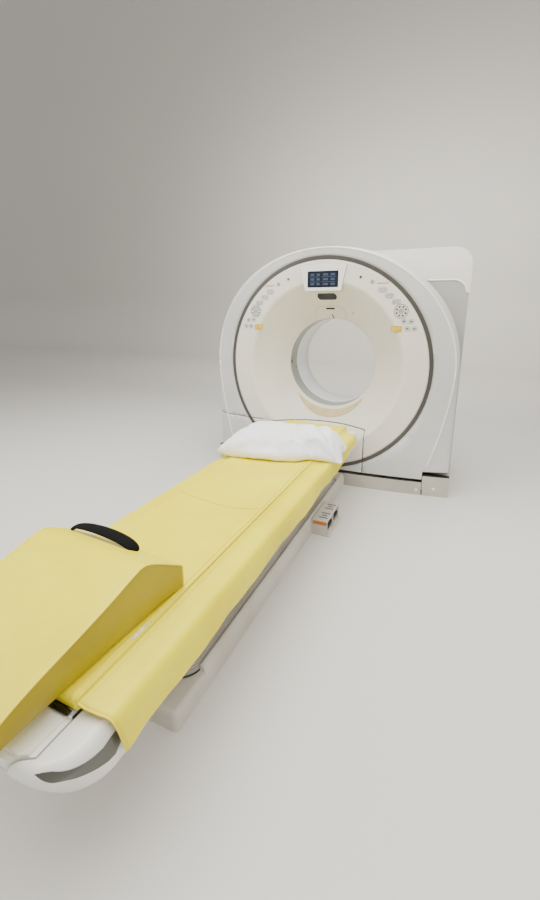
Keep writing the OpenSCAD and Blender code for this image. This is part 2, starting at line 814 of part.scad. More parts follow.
module lift_cover(k) color("silver") translate([0, 0, plate_t + 2])
  linear_extrude(cover_low + k * cover_show - plate_t - 2) cover_plan(k);

module lift_cover_1() lift_cover(1);
module lift_cover_2() lift_cover(2);
module lift_cover_3() lift_cover(3);
module lift_cover_4() lift_cover(4);

// tube k of both columns, counted from the outside
module column(k, z0, z1) for (y = [column_in - cover_foot, -cover_head - column_in])
  translate([0, y, z0]) difference() {
    size = column_w - 2 * k * (column_wall + column_gap);
    linear_extrude(z1 - z0) square(size, center = true);
    translate([0, 0, -1]) linear_extrude(z1 - z0 + 2) square(size - 2 * column_wall, center = true);
  }

module column_outer() color("dimgray") column(0, plate_t, frame_low - 22);
module column_mid() color("gray") column(1, plate_t + 2, frame_low - 16);

module lift_carriage() color("silver") {
  column(2, plate_t + 4, frame_low - 8);
  d = stages * cover_step;
  translate([0, 0, plate_t + 2]) linear_extrude(frame_low - plate_t - 2) cover_plan(stages);
  translate([0, 0, frame_low - 8]) linear_extrude(8)
    round_plan(cover_half - d - 1, -cover_foot + d + 1, -cover_head - d - 1, cover_round - d - 2);
}

// the foot end of pedal bay i
function bay_foot(i) = -pedal_foot + pedal_wall + i * (bay_len + pedal_wall);

module pedal_housing() color("ivory") difference() {
  union() {
    block(base_half, base_half + pedal_w, -pedal_foot, -pedal_foot + pedal_len, 0, pedal_h);
    block(base_half, base_half + pedal_w + 23, -pedal_foot, -pedal_foot + pedal_len, 0, pedal_wall);
  }
  for (i = [0, 1]) block(base_half + pedal_wall, base_half + pedal_w + 30, bay_foot(i),
    bay_foot(i) + bay_len, pedal_wall, pedal_h - pedal_wall);
  translate([base_half + 18, -pedal_foot + pedal_wall / 2, 58]) rotate([-90, 0, 0])
    cylinder(r = 5 + run_gap, h = pedal_len - pedal_wall, $fn = 48);
}

module pedal(i) color("dimgray") translate([base_half, bay_foot(i) + bay_len / 2, 0]) {
  half = bay_len / 2 - 5;
  translate([18, -bay_len / 2 - 2, 58]) rotate([-90, 0, 0]) cylinder(r = 5, h = bay_len + 4, $fn = 48);
  block(14, pedal_w - 6, -half, half, 52, 58);
  block(pedal_w - 10, pedal_w - 6, -half, half, 34, 58);
}
module pedal_up() pedal(0);
module pedal_down() pedal(1);

// Table top

// the frame's side in section, from a small chamfer below to the rounded shoulder
frame_edge = concat([[6, frame_low], [0, frame_low + 8], [0, frame_top - shoulder_h]],
  [for (a = [15:15:90]) [shoulder_in * (1 - cos(a)), frame_top - shoulder_h * (1 - sin(a))]]);

module table_frame() color("white") difference() {
  wall = 8;
  round_foot(frame_half, frame_foot, frame_head, frame_round, frame_edge);
  block(-channel_half, channel_half, -far - frame_foot, -frame_head + 10, channel_floor, far);
  difference() {
    round_foot(frame_half - wall, frame_foot - wall, frame_head + wall, frame_round - wall,
      [[0, frame_low + 6], [0, channel_floor - 6]]);
    both() block(104, 114, -roller_at - 40, -roller_at + 40, frame_low, channel_floor);
  }
  block(-103, 103, -roller_at - 25, -roller_at + 25, channel_floor - 10, channel_floor + 1);
  rod_x(8 + run_gap, -120, 120, -roller_at, cradle_low - roller_r - 0.3);
}

module cradle_roller() color("dimgray") {
  rod_x(roller_r, -100, 100, -roller_at, cradle_low - roller_r - 0.3);
  rod_x(8, -112, 112, -roller_at, cradle_low - roller_r - 0.3);
}

module cradle_shape() {
  w = cradle_half;
  half = [[w, cradle_top - 8], [w, cradle_top], [w - 18, cradle_top],
    [w - 78, cradle_low + 8]];
  polygon(concat([[w - 73, cradle_low]], half,
    [for (i = [3:-1:0]) [-half[i][0], half[i][1]]], [[-w + 73, cradle_low]]));
}

module cradle() color("gainsboro") plate_y(-cradle_foot, -cradle_head) cradle_shape();

module cradle_end_cap() color("white") {
  difference() {
    translate([0, 0, cradle_low]) linear_extrude(cradle_top - cradle_low - 4)
      polygon([[-cradle_half, -cradle_foot], [cradle_half, -cradle_foot], [cradle_half, -cap_end + 28],
        [cradle_half - 58, -cap_end], [-cradle_half + 58, -cap_end], [-cradle_half, -cap_end + 28]]);
    block(-far, far, -cap_end - 5, -cap_end + 12, cradle_top - 16, cradle_top + 5);
    both() block(cradle_half - 12, far, -cap_end - 5, -cradle_foot - 4, cradle_top - 12, cradle_top + 5);
  }
}

module mat_end_strip() color("black") block(-cradle_half + 5, cradle_half - 5, -cradle_foot - 9,
  -cradle_foot + 5, cradle_top, cradle_top + 4);

module mat() color("khaki") translate([(mat_right - mat_left) / 2, 0, cradle_top])
  linear_extrude(mat_t) round_plan((mat_right + mat_left) / 2, -cradle_foot + 5.2,
    -cradle_head - 13, 14);

module mat_flap() color("khaki") plate_y(-cradle_foot + 51, -cradle_head - 98)
  polygon([[mat_right + 0.2, mat_top - 9], [mat_right + 0.2, mat_top - 6],
    [mat_right + 17, frame_top + 25], [frame_half - 2, frame_top + 15],
    [frame_half + 12, frame_top + 3], [frame_half + 17, frame_low + 13],
    [frame_half + 14, frame_low + 13], [frame_half + 9, frame_top + 2],
    [frame_half - 3, frame_top + 12], [mat_right + 15, frame_top + 22]]);

module on_wedge() translate([cradle_half - 27.4, -wedge_foot, mat_top]) rotate([0, 0, wedge_turn])
  translate([-wedge_w, 0, 0]) children();

module wedge_block() on_wedge() rotate([90, 0, 90]) linear_extrude(wedge_w)
  polygon([[0, 4], [4, 0], [wedge_len - 5, 0], [wedge_len, 4], [wedge_len, 0.43 * wedge_h],
    [wedge_len - 7, 0.505 * wedge_h], [0.76 * wedge_len, wedge_h - 4], [0.723 * wedge_len, wedge_h],
    [0.679 * wedge_len, wedge_h - 4], [0.368 * wedge_len, 0.67 * wedge_h],
    [0.185 * wedge_len, 0.538 * wedge_h], [0.039 * wedge_len, 0.385 * wedge_h],
    [4, 0.319 * wedge_h], [0, 0.275 * wedge_h]]);

module wedge() color("khaki") wedge_block();

module wedge_strap() color("black") difference() {
  half = 0.3 * wedge_w;
  rise = 0.43 * wedge_h;
  on_wedge() translate([wedge_w / 2 - 40, wedge_len - 47, wedge_h / 2]) rotate([90, 0, 0])
    linear_extrude(40) difference() {
      polygon([for (t = [0:12:180]) [half * cos(t), rise * sin(t)]]);
      polygon([for (t = [0:12:180]) [(half - 4) * cos(t), rise * sin(t) - 4]]);
    }
  wedge_block();
}

module pillow() color("white") translate([-cradle_half - 92, -pillow_foot, mat_top])
  rotate([90, 0, 90]) linear_extrude(pillow_w) translate([pillow_len / 2, 0])
    polygon(concat([[-pillow_len / 2 + 60, 0], [pillow_len / 2 - 60, 0]],
      [for (t = [0:10:180]) [pillow_len / 2 * cos(t) * (1 - 0.06 * sin(t)),
        22 + (pillow_t - 22) * pow(sin(t), 0.7)]]));

base_frame();
stands();
plinth_front();
plinth_rear();
side_blocks();
tilt_gearbox();
tilt_frame();
front_cover();
lower_front_cover();
front_housing();
ring_trim();
rear_cover();
rear_top_cover();
rear_bell();
bore_liner();
scan_window();
lip_pad();
display_bezel();
display_screen();
funnel_windows();
panel_trim_left();
panel_trim_right();
main_bearing();
drive_stator();
brush_block();
rocker_left_1();
rocker_left_2();
rocker_left_3();
rocker_right_1();
rocker_right_2();
rocker_right_3();
stop_button_left();
stop_button_right();
rotor_drum();
xray_tube();
collimator();
detector_array();
generator();
slip_ring();
table_base();
pedal_housing();
pedal_up();
pedal_down();
lift_cover_1();
lift_cover_2();
lift_cover_3();
lift_cover_4();
column_outer();
column_mid();
lift_carriage();
table_frame();
cradle_roller();
cradle();
cradle_end_cap();
mat_end_strip();
mat();
mat_flap();
wedge();
wedge_strap();
pillow();
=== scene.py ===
# %% [markdown]
# # A CT scanner and its patient table
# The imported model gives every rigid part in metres, in one frame: X to the right seen from the
# table, Y into the gantry, Z up, with the origin on the floor below the scan plane. This script
# lights it, gives each surface its finish, and builds the pieces that are soft or softly curved.

# %% Load the frame
import bpy
import bmesh
import math
from mathutils import Matrix, Vector, noise


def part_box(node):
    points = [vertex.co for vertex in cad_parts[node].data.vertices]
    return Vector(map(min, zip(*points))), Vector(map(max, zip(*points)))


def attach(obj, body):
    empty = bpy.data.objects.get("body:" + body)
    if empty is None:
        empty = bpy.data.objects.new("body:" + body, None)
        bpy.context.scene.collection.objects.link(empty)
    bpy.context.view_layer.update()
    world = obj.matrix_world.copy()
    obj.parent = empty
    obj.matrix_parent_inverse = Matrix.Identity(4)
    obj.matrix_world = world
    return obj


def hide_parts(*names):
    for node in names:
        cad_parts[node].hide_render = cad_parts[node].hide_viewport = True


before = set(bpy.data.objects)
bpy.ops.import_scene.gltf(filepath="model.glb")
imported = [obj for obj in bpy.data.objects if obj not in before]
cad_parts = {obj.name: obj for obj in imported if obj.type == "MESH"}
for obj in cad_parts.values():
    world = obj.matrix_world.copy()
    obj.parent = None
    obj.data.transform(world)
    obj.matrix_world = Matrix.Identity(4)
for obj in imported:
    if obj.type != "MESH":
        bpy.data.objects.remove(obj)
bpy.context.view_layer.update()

# %% [markdown]
# ## The camera
# The picture was taken with a wide lens, held upright at about eye height beside the table's
# foot. A camera can be nudged by eye until the view fits, but then every size drifts with it.
# Here its place and angles were worked out from straight lines of known length, so the part
# falls on the same pixels. A small shift stands for the crop of the original picture.

# %% Camera
EYE = (0.9788, -3.3963, 1.4109)
LOOK_DOWN, TURN_LEFT = 14.22, 23.78
LENS_MM, SENSOR_MM = 16.0, 36
CROP_SHIFT = (-0.0108, -0.0429)
FAR_CLIP = 60


def make_camera():
    data = bpy.data.cameras.new("camera")
    camera = bpy.data.objects.new("camera", data)
    bpy.context.scene.collection.objects.link(camera)
    camera.location = EYE
    camera.rotation_euler = (math.radians(90 - LOOK_DOWN), 0, math.radians(TURN_LEFT))
    data.lens = LENS_MM
    data.sensor_width = SENSOR_MM
    data.shift_x, data.shift_y = CROP_SHIFT
    data.clip_end = FAR_CLIP
    bpy.context.scene.camera = camera
    return camera

camera = make_camera()
print("camera at", tuple(camera.location))

# %% [markdown]
# ## Colours and shader nodes
# A designer picks colours as sRGB hex codes, but light adds up in linear values, so one function
# turns the first into the second. Materials could be wired by hand, socket by socket. With one
# helper that adds a node, and one that fills a node's inputs, each recipe below reads as a list.

# %% Colours and nodes
def linear(code):
    """A colour from its sRGB hex code, as linear RGBA."""
    parts = [int(code[i:i + 2], 16) / 255 for i in (1, 3, 5)]
    return tuple(c / 12.92 if c <= 0.04045 else ((c + 0.055) / 1.055) ** 2.4 for c in parts) + (1,)


def plug(tree, node, inputs):
    """Set each named input of a node, or link it when the value is another node's output."""
    for name, value in inputs.items():
        if isinstance(value, bpy.types.NodeSocket):
            tree.links.new(value, node.inputs[name])
        else:
            node.inputs[name].default_value = value


def add_node(tree, kind, inputs=None, tones=(), **settings):
    """Add one shader node with its settings, its colour stops and its inputs."""
    node = tree.nodes.new(kind)
    for key, value in settings.items():
        setattr(node, key, value)
    for k, (position, colour) in enumerate(tones):
        node.color_ramp.elements[k].position = position
        node.color_ramp.elements[k].color = colour
    plug(tree, node, inputs or {})
    return node


def blank_material(name):
    material = bpy.data.materials.new(name)
    material.use_nodes = True
    tree = material.node_tree
    return material, tree, tree.nodes["Principled BSDF"]


def place_on_part(tree):
    """The point being shaded, in the part's own metres."""
    return add_node(tree, "ShaderNodeTexCoord").outputs["Object"]

print("linear middle grey", round(linear("#808080")[0], 4))

# %% [markdown]
# ## The studio
# A plain pale floor runs up into a backdrop, so the part stands alone and nothing tints it. A
# corner between floor and wall would draw a line behind the part, so a wide cove joins them.
# Small lamps would leave hard spots on the glossy covers. The light comes from big soft areas
# instead: above, left, right, behind and onto the backdrop. The covers then shade gently, and
# the vinyl gets long soft highlights.

# %% Floor and backdrop
WALL_SIDE, WALL_BACK, WALL_TOP = 40.0, 9.0, 24.0
FLOOR_FRONT, COVE = -30.0, 2.0


def make_studio():
    material, tree, shader = blank_material("studio_floor_paint")
    grain = add_node(tree, "ShaderNodeTexNoise", {"Scale": 3.0, "Detail": 6})
    tone = add_node(tree, "ShaderNodeValToRGB", {"Fac": grain.outputs["Fac"]},
                    tones=((0.0, linear("#C9C6C0")), (1.0, linear("#D5D2CC"))))
    plug(tree, shader, {"Base Color": tone.outputs["Color"], "Roughness": 0.55})
    rows = [(FLOOR_FRONT, 0.0), (WALL_BACK - COVE, 0.0)]
    rows += [(WALL_BACK - COVE + COVE * math.sin(a), COVE - COVE * math.cos(a))
             for a in [math.radians(d) for d in range(9, 91, 9)]]
    rows.append((WALL_BACK, WALL_TOP))
    verts = [(x, y, z) for y, z in rows for x in (-WALL_SIDE, WALL_SIDE)]
    faces = [(2 * i, 2 * i + 1, 2 * i + 3, 2 * i + 2) for i in range(len(rows) - 1)]
    mesh = bpy.data.meshes.new("studio_floor")
    mesh.from_pydata(verts, [], faces)
    for face in mesh.polygons:
        face.use_smooth = True
    floor = bpy.data.objects.new("studio_floor", mesh)
    bpy.context.scene.collection.objects.link(floor)
    mesh.materials.append(material)
    return floor

floor = make_studio()
print("floor faces", len(floor.data.polygons))

# %% Lights
LIGHTS = [
    ("ceiling_soft", (0.3, -1.6, 4.2), (0.2, -1.4, 0), (4.5, 5.0), 400, "#FFFDF8"),
    ("key_soft", (-3.6, -3.8, 3.2), (0, -1.2, 0.8), (2.6, 2.2), 130, "#FFFFFF"),
    ("fill_soft", (4.2, -3.0, 2.2), (0, -0.8, 0.8), (2.4, 2.4), 60, "#FFF8EE"),
    ("back_soft", (0.0, 3.6, 3.4), (0, 0, 0.9), (4.0, 2.0), 60, "#F4F7FF"),
    ("backdrop_wash", (0.0, 4.2, 4.6), (0, 9.0, 2.5), (9.0, 1.5), 420, "#FFFBF2"),
]
AIR_COLOUR, AIR_STRENGTH = "#F3F1EC", 0.72


def area_light(name, place, target, size, power, colour):
    data = bpy.data.lights.new(name, "AREA")
    data.shape = "RECTANGLE"
    data.size, data.size_y = size
    data.energy = power
    data.color = linear(colour)[:3]
    light = bpy.data.objects.new(name, data)
    light.location = place
    light.rotation_euler = (Vector(target) - Vector(place)).to_track_quat("-Z", "Y").to_euler()
    bpy.context.scene.collection.objects.link(light)


def make_air():
    """The even light that comes from all round."""
    air = bpy.data.worlds.new("studio_air")
    bpy.context.scene.world = air
    air.use_nodes = True
    plug(air.node_tree, air.node_tree.nodes["Background"],
         {"Color": linear(AIR_COLOUR), "Strength": AIR_STRENGTH})

for row in LIGHTS:
    area_light(*row)
make_air()
print("lights", [row[0] for row in LIGHTS])

# %% [markdown]
# ## Moulded covers
# The gantry's covers are glass-filled polyurethane and ABS, moulded and sprayed with a fine
# structure paint. Close up that gives an even soft gloss with a tiny orange peel. Over metres the
# tone drifts a little, and hands and cleaning cloths leave the faintest greyer patches. A flat
# colour would look like a toy's, and a picture of paint would show its joins, so noise in the
# part's own metres makes both the peel, at its real size, and the patches. The same recipe with
# other numbers gives every painted, moulded or printed surface here. Sharp edges of the solids
# are shaded as if rounded, because every moulding and bent sheet has a small radius there.

# %% Sprayed cover finish
def sprayed_cover(name, colour, shade, roughness=0.42, peel_mm=2.2, peel=0.05, drift=1.4,
                  edge_mm=2.5):
    """Two close tones in slow clouds, drift of them to a metre, under a peel of bumps."""
    material, tree, shader = blank_material(name)
    place = place_on_part(tree)
    clouds = add_node(tree, "ShaderNodeTexNoise", {"Vector": place, "Scale": drift, "Detail": 5,
                                                   "Roughness": 0.6})
    tone = add_node(tree, "ShaderNodeValToRGB", {"Fac": clouds.outputs["Fac"]},
                    tones=((0.36, linear(shade)), (0.62, linear(colour))))
    wiped = add_node(tree, "ShaderNodeMapRange", {"Value": clouds.outputs["Fac"],
                     "From Min": 0.3, "From Max": 0.7, "To Min": roughness + 0.05,
                     "To Max": roughness - 0.04})
    grain = add_node(tree, "ShaderNodeTexNoise", {"Vector": place, "Scale": 1000 / peel_mm,
                                                  "Detail": 3})
    rounded = add_node(tree, "ShaderNodeBevel", {"Radius": edge_mm / 1000}, samples=4)
    bump = add_node(tree, "ShaderNodeBump", {"Height": grain.outputs["Fac"], "Strength": peel,
                    "Normal": rounded.outputs["Normal"], "Distance": 0.0004})
    plug(tree, shader, {"Base Color": tone.outputs["Color"],
                        "Roughness": wiped.outputs["Result"], "Normal": bump.outputs["Normal"]})
    return material

# Structure paint over ABS: an even soft gloss with a light orange peel.
warm_white_abs = sprayed_cover("warm_white_sprayed_abs", "#E6E0D3", "#DCD6C9")
silver_grey_abs = sprayed_cover("silver_grey_sprayed_abs", "#C9CAC6", "#BEBFBC")
stone_grey_abs = sprayed_cover("stone_grey_sprayed_abs", "#B4B2AC", "#A9A7A1")
cream_abs = sprayed_cover("cream_sprayed_abs", "#E9E4DC", "#DFD9D0")
# ABS as it leaves the mould: smoother, so its highlights are tighter.
trim_white = sprayed_cover("trim_white_abs", "#EDEBE6", "#E4E2DC", 0.33, 2.5, 0.03)
stop_yellow = sprayed_cover("button_yellow_abs", "#E3C43A", "#D2B02C", 0.35, 2.0, 0.03, 20.0)
# Powder coat on steel plate: duller, with a close grain and scuffed patches.
PLINTH_COAT = ("#B9B5A9", "#A8A498", 0.5, 1.6, 0.12, 3.0)
plinth_grey = sprayed_cover("plinth_powder_coat", *PLINTH_COAT)
base_beige = sprayed_cover("base_beige_powder_coat", "#CCC8BC", "#BDB8AB", 0.45, 1.6, 0.1, 2.4)
# Enamel on steel: a soft sheen, and a rougher hammered skin on gears and motors.
lift_taupe = sprayed_cover("lift_taupe_enamel", "#ACA89E", "#9A958B", 0.4, 1.8, 0.06, 4.0)
frame_paint = sprayed_cover("frame_steel_enamel", "#5A5F63", "#4C5054", 0.45, 1.4, 0.1, 6.0)
drive_paint = sprayed_cover("drive_hammered_enamel", "#6A7378", "#5A6267", 0.4, 4.0, 0.25, 6.0)
# Gelcoat and laminate, as on a boat: smooth, with long clean highlights.
table_white = sprayed_cover("table_white_gelcoat", "#E9E7E0", "#DEDBD3", 0.3, 3.0, 0.03, 2.0)
cradle_grey = sprayed_cover("cradle_grey_laminate", "#B4B3AE", "#A8A7A2", 0.4)
# Anodised aluminium profile, dyed dark: an even dark satin line.
ring_charcoal = sprayed_cover("ring_charcoal_profile", "#4B4944", "#403E3A", 0.38, 1.5, 0.05)
# Acrylic, polycarbonate and polyester films: the glossiest and flattest surfaces.
black_gloss = sprayed_cover("black_gloss_acrylic", "#101112", "#0B0C0D", 0.12, 6.0, 0.01)
film_grey = sprayed_cover("keypad_film_polyester", "#CFCDC4", "#C6C4BB", 0.3, 2.0, 0.03)
liner_white = sprayed_cover("liner_white_polycarbonate", "#EEF1F4", "#E4E8EC", 0.22, 5.0, 0.02)
window_film = sprayed_cover("window_band_polyester", "#8F9489", "#83887D", 0.25, 5.0, 0.02)
# Foam skin and rubber: matt and coarse, with no clear highlight.
lip_beige = sprayed_cover("lip_beige_foam_skin", "#CDBB8C", "#BFAC7C", 0.6, 1.2, 0.2, 9.0)
pedal_rubber = sprayed_cover("pedal_black_rubber", "#26272A", "#1D1E20", 0.7, 1.5, 0.3, 20.0)
print("cover finishes", len(bpy.data.materials))

# %% Painted shade in the base's gap
PLINTH_SHADE_FROM, BLOCK_SHADE_FROM = 0.106, 0.161


def paint_gap_shade(material, height):
    """Near black above a height, along the tilting gap: painted shade, as the gap lies in shadow.
    """
    tree = material.node_tree
    shader = tree.nodes["Principled BSDF"]
    paint = shader.inputs["Base Color"].links[0].from_socket
    split = add_node(tree, "ShaderNodeSeparateXYZ", {"Vector": place_on_part(tree)})
    above = add_node(tree, "ShaderNodeMath", {0: split.outputs["Z"], 1: height},
                     operation="GREATER_THAN")
    # The near black mixed in above the height is painted shade in the gap under the gantry.
    mixed = add_node(tree, "ShaderNodeMix", {"Factor": above.outputs["Value"], "A": paint,
                                             "B": linear("#0C0C0C")}, data_type="RGBA")
    plug(tree, shader, {"Base Color": mixed.outputs["Result"]})
    return material

plinth_gap_shade = paint_gap_shade(sprayed_cover("edged_plinth_coat", *PLINTH_COAT), PLINTH_SHADE_FROM)
block_gap_shade = paint_gap_shade(sprayed_cover("edged_block_coat", *PLINTH_COAT), BLOCK_SHADE_FROM)
print("painted gap shade starts at", PLINTH_SHADE_FROM, BLOCK_SHADE_FROM)

# %% [markdown]
# ## Machined metal inside
# The rotor parts sit behind the covers, and show only when someone takes those off. They are cast
# aluminium and turned steel. A plain mirror metal would look like chrome, so the rings that a
# lathe leaves are added as a fine wave round the rotor's axis, with a light cloud in the tone.
# The rings are drawn coarser than a lathe's, so that they show.

# %% Turned and cast metal
def turned_metal(name, colour, roughness, pitch_mm=1.5):
    material, tree, shader = blank_material(name)
    place = place_on_part(tree)
    dark = tuple(0.85 * c for c in linear(colour)[:3]) + (1,)
    grain = add_node(tree, "ShaderNodeTexNoise", {"Vector": place, "Scale": 60, "Detail": 4})
    tone = add_node(tree, "ShaderNodeValToRGB", {"Fac": grain.outputs["Fac"]},
                    tones=((0.0, dark), (1.0, linear(colour))))
    rings = add_node(tree, "ShaderNodeTexWave", {"Vector": place, "Scale": 1000 / pitch_mm / 20,
                     "Distortion": 1.0}, wave_type="RINGS", rings_direction="Y")
    bump = add_node(tree, "ShaderNodeBump", {"Height": rings.outputs["Fac"], "Strength": 0.1,
                                             "Distance": 0.0003})
    plug(tree, shader, {"Metallic": 1.0, "Roughness": roughness,
                        "Base Color": tone.outputs["Color"], "Normal": bump.outputs["Normal"]})
    return material

cast_aluminium = turned_metal("cast_aluminium", "#B9BCC0", 0.45)
ground_steel = turned_metal("ground_steel", "#9FA3A8", 0.3)
turned_brass = turned_metal("turned_brass", "#C9A45A", 0.3)
stator_iron = turned_metal("stator_iron", "#6B6661", 0.55)
print("metals ready")

# %% [markdown]
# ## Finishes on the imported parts
# Every rigid part comes in with its shape and place final. Only its material slot is filled here,
# so a table of part names and finishes is all that it takes.

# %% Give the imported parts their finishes
PART_FINISH = {
    "base_frame": frame_paint, "stands": frame_paint, "plinth_front": plinth_gap_shade,
    "plinth_rear": plinth_grey, "side_blocks": block_gap_shade, "tilt_gearbox": drive_paint,
    "tilt_frame": frame_paint, "front_cover": warm_white_abs,
    "lower_front_cover": silver_grey_abs, "front_housing": silver_grey_abs,
    "ring_trim": ring_charcoal, "rear_cover": stone_grey_abs, "rear_top_cover": cream_abs,
    "rear_bell": warm_white_abs, "bore_liner": liner_white, "scan_window": window_film,
    "lip_pad": lip_beige, "display_bezel": trim_white, "display_screen": black_gloss,
    "funnel_windows": black_gloss, "panel_trim_left": film_grey,
    "panel_trim_right": film_grey, "main_bearing": ground_steel, "drive_stator": stator_iron,
    "brush_block": pedal_rubber, "stop_button_left": stop_yellow,
    "stop_button_right": stop_yellow, "rotor_drum": cast_aluminium, "xray_tube": drive_paint,
    "collimator": frame_paint, "detector_array": frame_paint, "generator": drive_paint,
    "slip_ring": turned_brass, "table_base": base_beige, "pedal_housing": base_beige,
    "pedal_up": pedal_rubber, "pedal_down": pedal_rubber, "column_outer": frame_paint,
    "column_mid": frame_paint, "lift_carriage": lift_taupe, "table_frame": table_white,
    "cradle_roller": pedal_rubber, "cradle": cradle_grey, "cradle_end_cap": table_white,
    "mat_end_strip": black_gloss,
}
PART_FINISH.update({f"rocker_{side}_{i}": trim_white for side in ("left", "right")
                    for i in (1, 2, 3)})
PART_FINISH.update({f"lift_cover_{i}": lift_taupe for i in (1, 2, 3, 4)})
for name, finish in PART_FINISH.items():
    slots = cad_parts[name].data.materials
    slots.clear()
    slots.append(finish)
print("finished parts", len(PART_FINISH), "of", len(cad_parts))

# %% [markdown]
# ## Sheets built from rings
# Most covers are skins: one outline slides and grows into the next. Modelling one face by face
# would leave dents, and sculpting would lose its true size. So a skin is built as a row of rings
# with the same number of points, joined by four-sided faces, and then given its wall by a
# solidify step. The same rings bend the mat's flap and the table's shoulders.

# %% Ring builder
def new_piece(name, verts, faces, finish, smooth=True):
    mesh = bpy.data.meshes.new(name)
    mesh.from_pydata([tuple(v) for v in verts], [], faces)
    mesh.validate()
    mesh.polygons.foreach_set("use_smooth", [smooth] * len(mesh.polygons))
    piece = bpy.data.objects.new(name, mesh)
    bpy.context.scene.collection.objects.link(piece)
    mesh.materials.append(finish)
    return piece


def ring_skin(rings, closed=True):
    """Points and faces of a skin through rings of equal length."""
    n = len(rings[0])
    verts = [p for ring in rings for p in ring]
    last = n if closed else n - 1
    faces = [(k * n + i, k * n + (i + 1) % n, (k + 1) * n + (i + 1) % n, (k + 1) * n + i)
             for k in range(len(rings) - 1) for i in range(last)]
    return verts, faces


def prism_faces(n):
    """Faces of a prism, with points 0 to n - 1 round one end and the next n round the other."""
    ends = [tuple(range(n)), tuple(range(2 * n - 1, n - 1, -1))]
    return ends + [(i, n + i, n + (i + 1) % n, (i + 1) % n) for i in range(n)]


def end_caps(n, total):
    """The two closing faces of a tube that has n points to a ring and total points in all."""
    return [tuple(range(n - 1, -1, -1)), tuple(range(total - n, total))]

print("faces of a cube", len(prism_faces(4)))

# %% Cutting and wall tools
def cut_away(piece, planes, gone):
    """Cut edges into the mesh along planes, then drop the faces whose middle is gone."""
    bm = bmesh.new()
    bm.from_mesh(piece.data)
    for point, normal in planes:
        bmesh.ops.bisect_plane(bm, geom=bm.verts[:] + bm.edges[:] + bm.faces[:], dist=1e-6,
                               plane_co=point, plane_no=normal)
    dead = [f for f in bm.faces if gone(f.calc_center_median())]
    bmesh.ops.delete(bm, geom=dead, context="FACES")
    bm.to_mesh(piece.data)
    bm.free()


def face_outwards(piece):
    bm = bmesh.new()
    bm.from_mesh(piece.data)
    bmesh.ops.recalc_face_normals(bm, faces=bm.faces)
    bm.to_mesh(piece.data)
    bm.free()


def bake(piece):
    """Apply every modifier, so the mesh is final."""
    shaped = bpy.data.meshes.new_from_object(
        piece.evaluated_get(bpy.context.evaluated_depsgraph_get()))
    piece.modifiers.clear()
    piece.data = shaped
    return piece


def add_wall(piece, thickness, offset=-1.0):
    wall = piece.modifiers.new("wall", "SOLIDIFY")
    wall.thickness = thickness
    wall.offset = offset
    wall.use_even_offset = True
    return bake(piece)

print("tools ready")

# %% [markdown]
# ## The bowed front and the housing's outline
# The whole front of the gantry lies on one wide cylinder. The round housing has an arch a little
# squarer than a circle, straight sides down to the foot, and a front crease whose sides lean in.
# One formula gives both outlines, with the same number of points, so rings can join them.

# %% Bowed front and outlines
AXIS = 0.970   # height of the tunnel's middle
FRONT = -0.368   # the foremost line of the bowed front
BOW = 5.7   # radius of the bow


def bow_y(x):
    return FRONT + BOW - math.sqrt(BOW * BOW - x * x)


def arch(t, a, b, n):
    """A point of the upper half of a superellipse: n is 2 for an ellipse and more if squarer."""
    c, s = math.cos(t), math.sin(t)
    return (a * math.copysign(abs(c) ** (2 / n), c) if abs(c) > 1e-9 else 0.0,
            b * abs(s) ** (2 / n))


def housing_outline(a, b, n, lean, low=0.840, arc=160, side=24, foot=40):
    """The round housing's outline about the axis: arch, left side, foot, right side."""
    points = [arch(math.pi * i / arc, a, b, n) for i in range(arc + 1)]
    points += [(-a + lean * (j / side) ** 1.6, -low * j / side) for j in range(1, side + 1)]
    reach = a - lean
    points += [(-reach + 2 * reach * j / foot, -low) for j in range(1, foot)]
    points += [(a - lean * (j / side) ** 1.6, -low * j / side) for j in range(side, 0, -1)]
    return points

OUTER = housing_outline(1.010, 0.901, 2.1, 0.0)
CREASE = housing_outline(0.985, 0.890, 2.0, 0.165)
print("outline points", len(OUTER), len(CREASE))

# %% [markdown]
# ## The round front housing
# One deep moulding forms the silver outer band: its side runs back to the rear box, rolls over a
# soft bevel, and meets the bowed front along a crease that leans inwards at the foot. The crease
# catches a bright line of light, so it gets a real rounding, not a sharp fold. The lower left
# corner is a cover of its own, cut from the same skin, so both meet without a step.

# %% Front housing and lower cover
BACK_EDGE, SIDE_FRONT = 0.076, 0.045
RING_R, RING_STEP = 0.8345, 0.0032
COVER_WALL = 0.0055
SPLIT_X, SPLIT_Y, SPLIT_Z, SPLIT_GAP = 0.365, -0.240, 0.480, 0.003
BLOCK_X, BLOCK_TOP = 0.824, 0.196
SKIRT_TOP, SKIRT_FRONT = 0.131, -0.27


def blend(p, q, t):
    return (p[0] + (q[0] - p[0]) * t, p[1] + (q[1] - p[1]) * t)


def front_ring(inner, outer, t, back):
    """A ring between two outlines, standing a little behind the bowed front."""
    return [(x, bow_y(x) + back, AXIS + z)
            for x, z in (blend(p, q, t) for p, q in zip(inner, outer))]


def front_housing_skin():
    groove = [(RING_R * x / math.hypot(x, z), RING_R * z / math.hypot(x, z)) for x, z in CREASE]
    rings = [[(x, BACK_EDGE, AXIS + z) for x, z in OUTER]]
    for share in (0.5, 0.85):
        rings.append([(x, BACK_EDGE + (bow_y(x) + SIDE_FRONT - BACK_EDGE) * share, AXIS + z)
                      for x, z in OUTER])
    for t, back in ((0.0, 0.036), (0.06, 0.027), (0.25, 0.0185), (0.5, 0.0125), (0.8, 0.007),
                    (0.95, 0.0028), (1.0, 0.0014)):
        rings.append(front_ring(OUTER, CREASE, t, back))
    for t, back in ((0.03, 0.0004), (0.08, 0.0), (0.35, 0.0), (0.7, 0.0), (1.0, 0.0)):
        rings.append(front_ring(CREASE, groove, t, back))
    rings.append([(x, bow_y(x) + RING_STEP, AXIS + z) for x, z in groove])
    return ring_skin(rings)


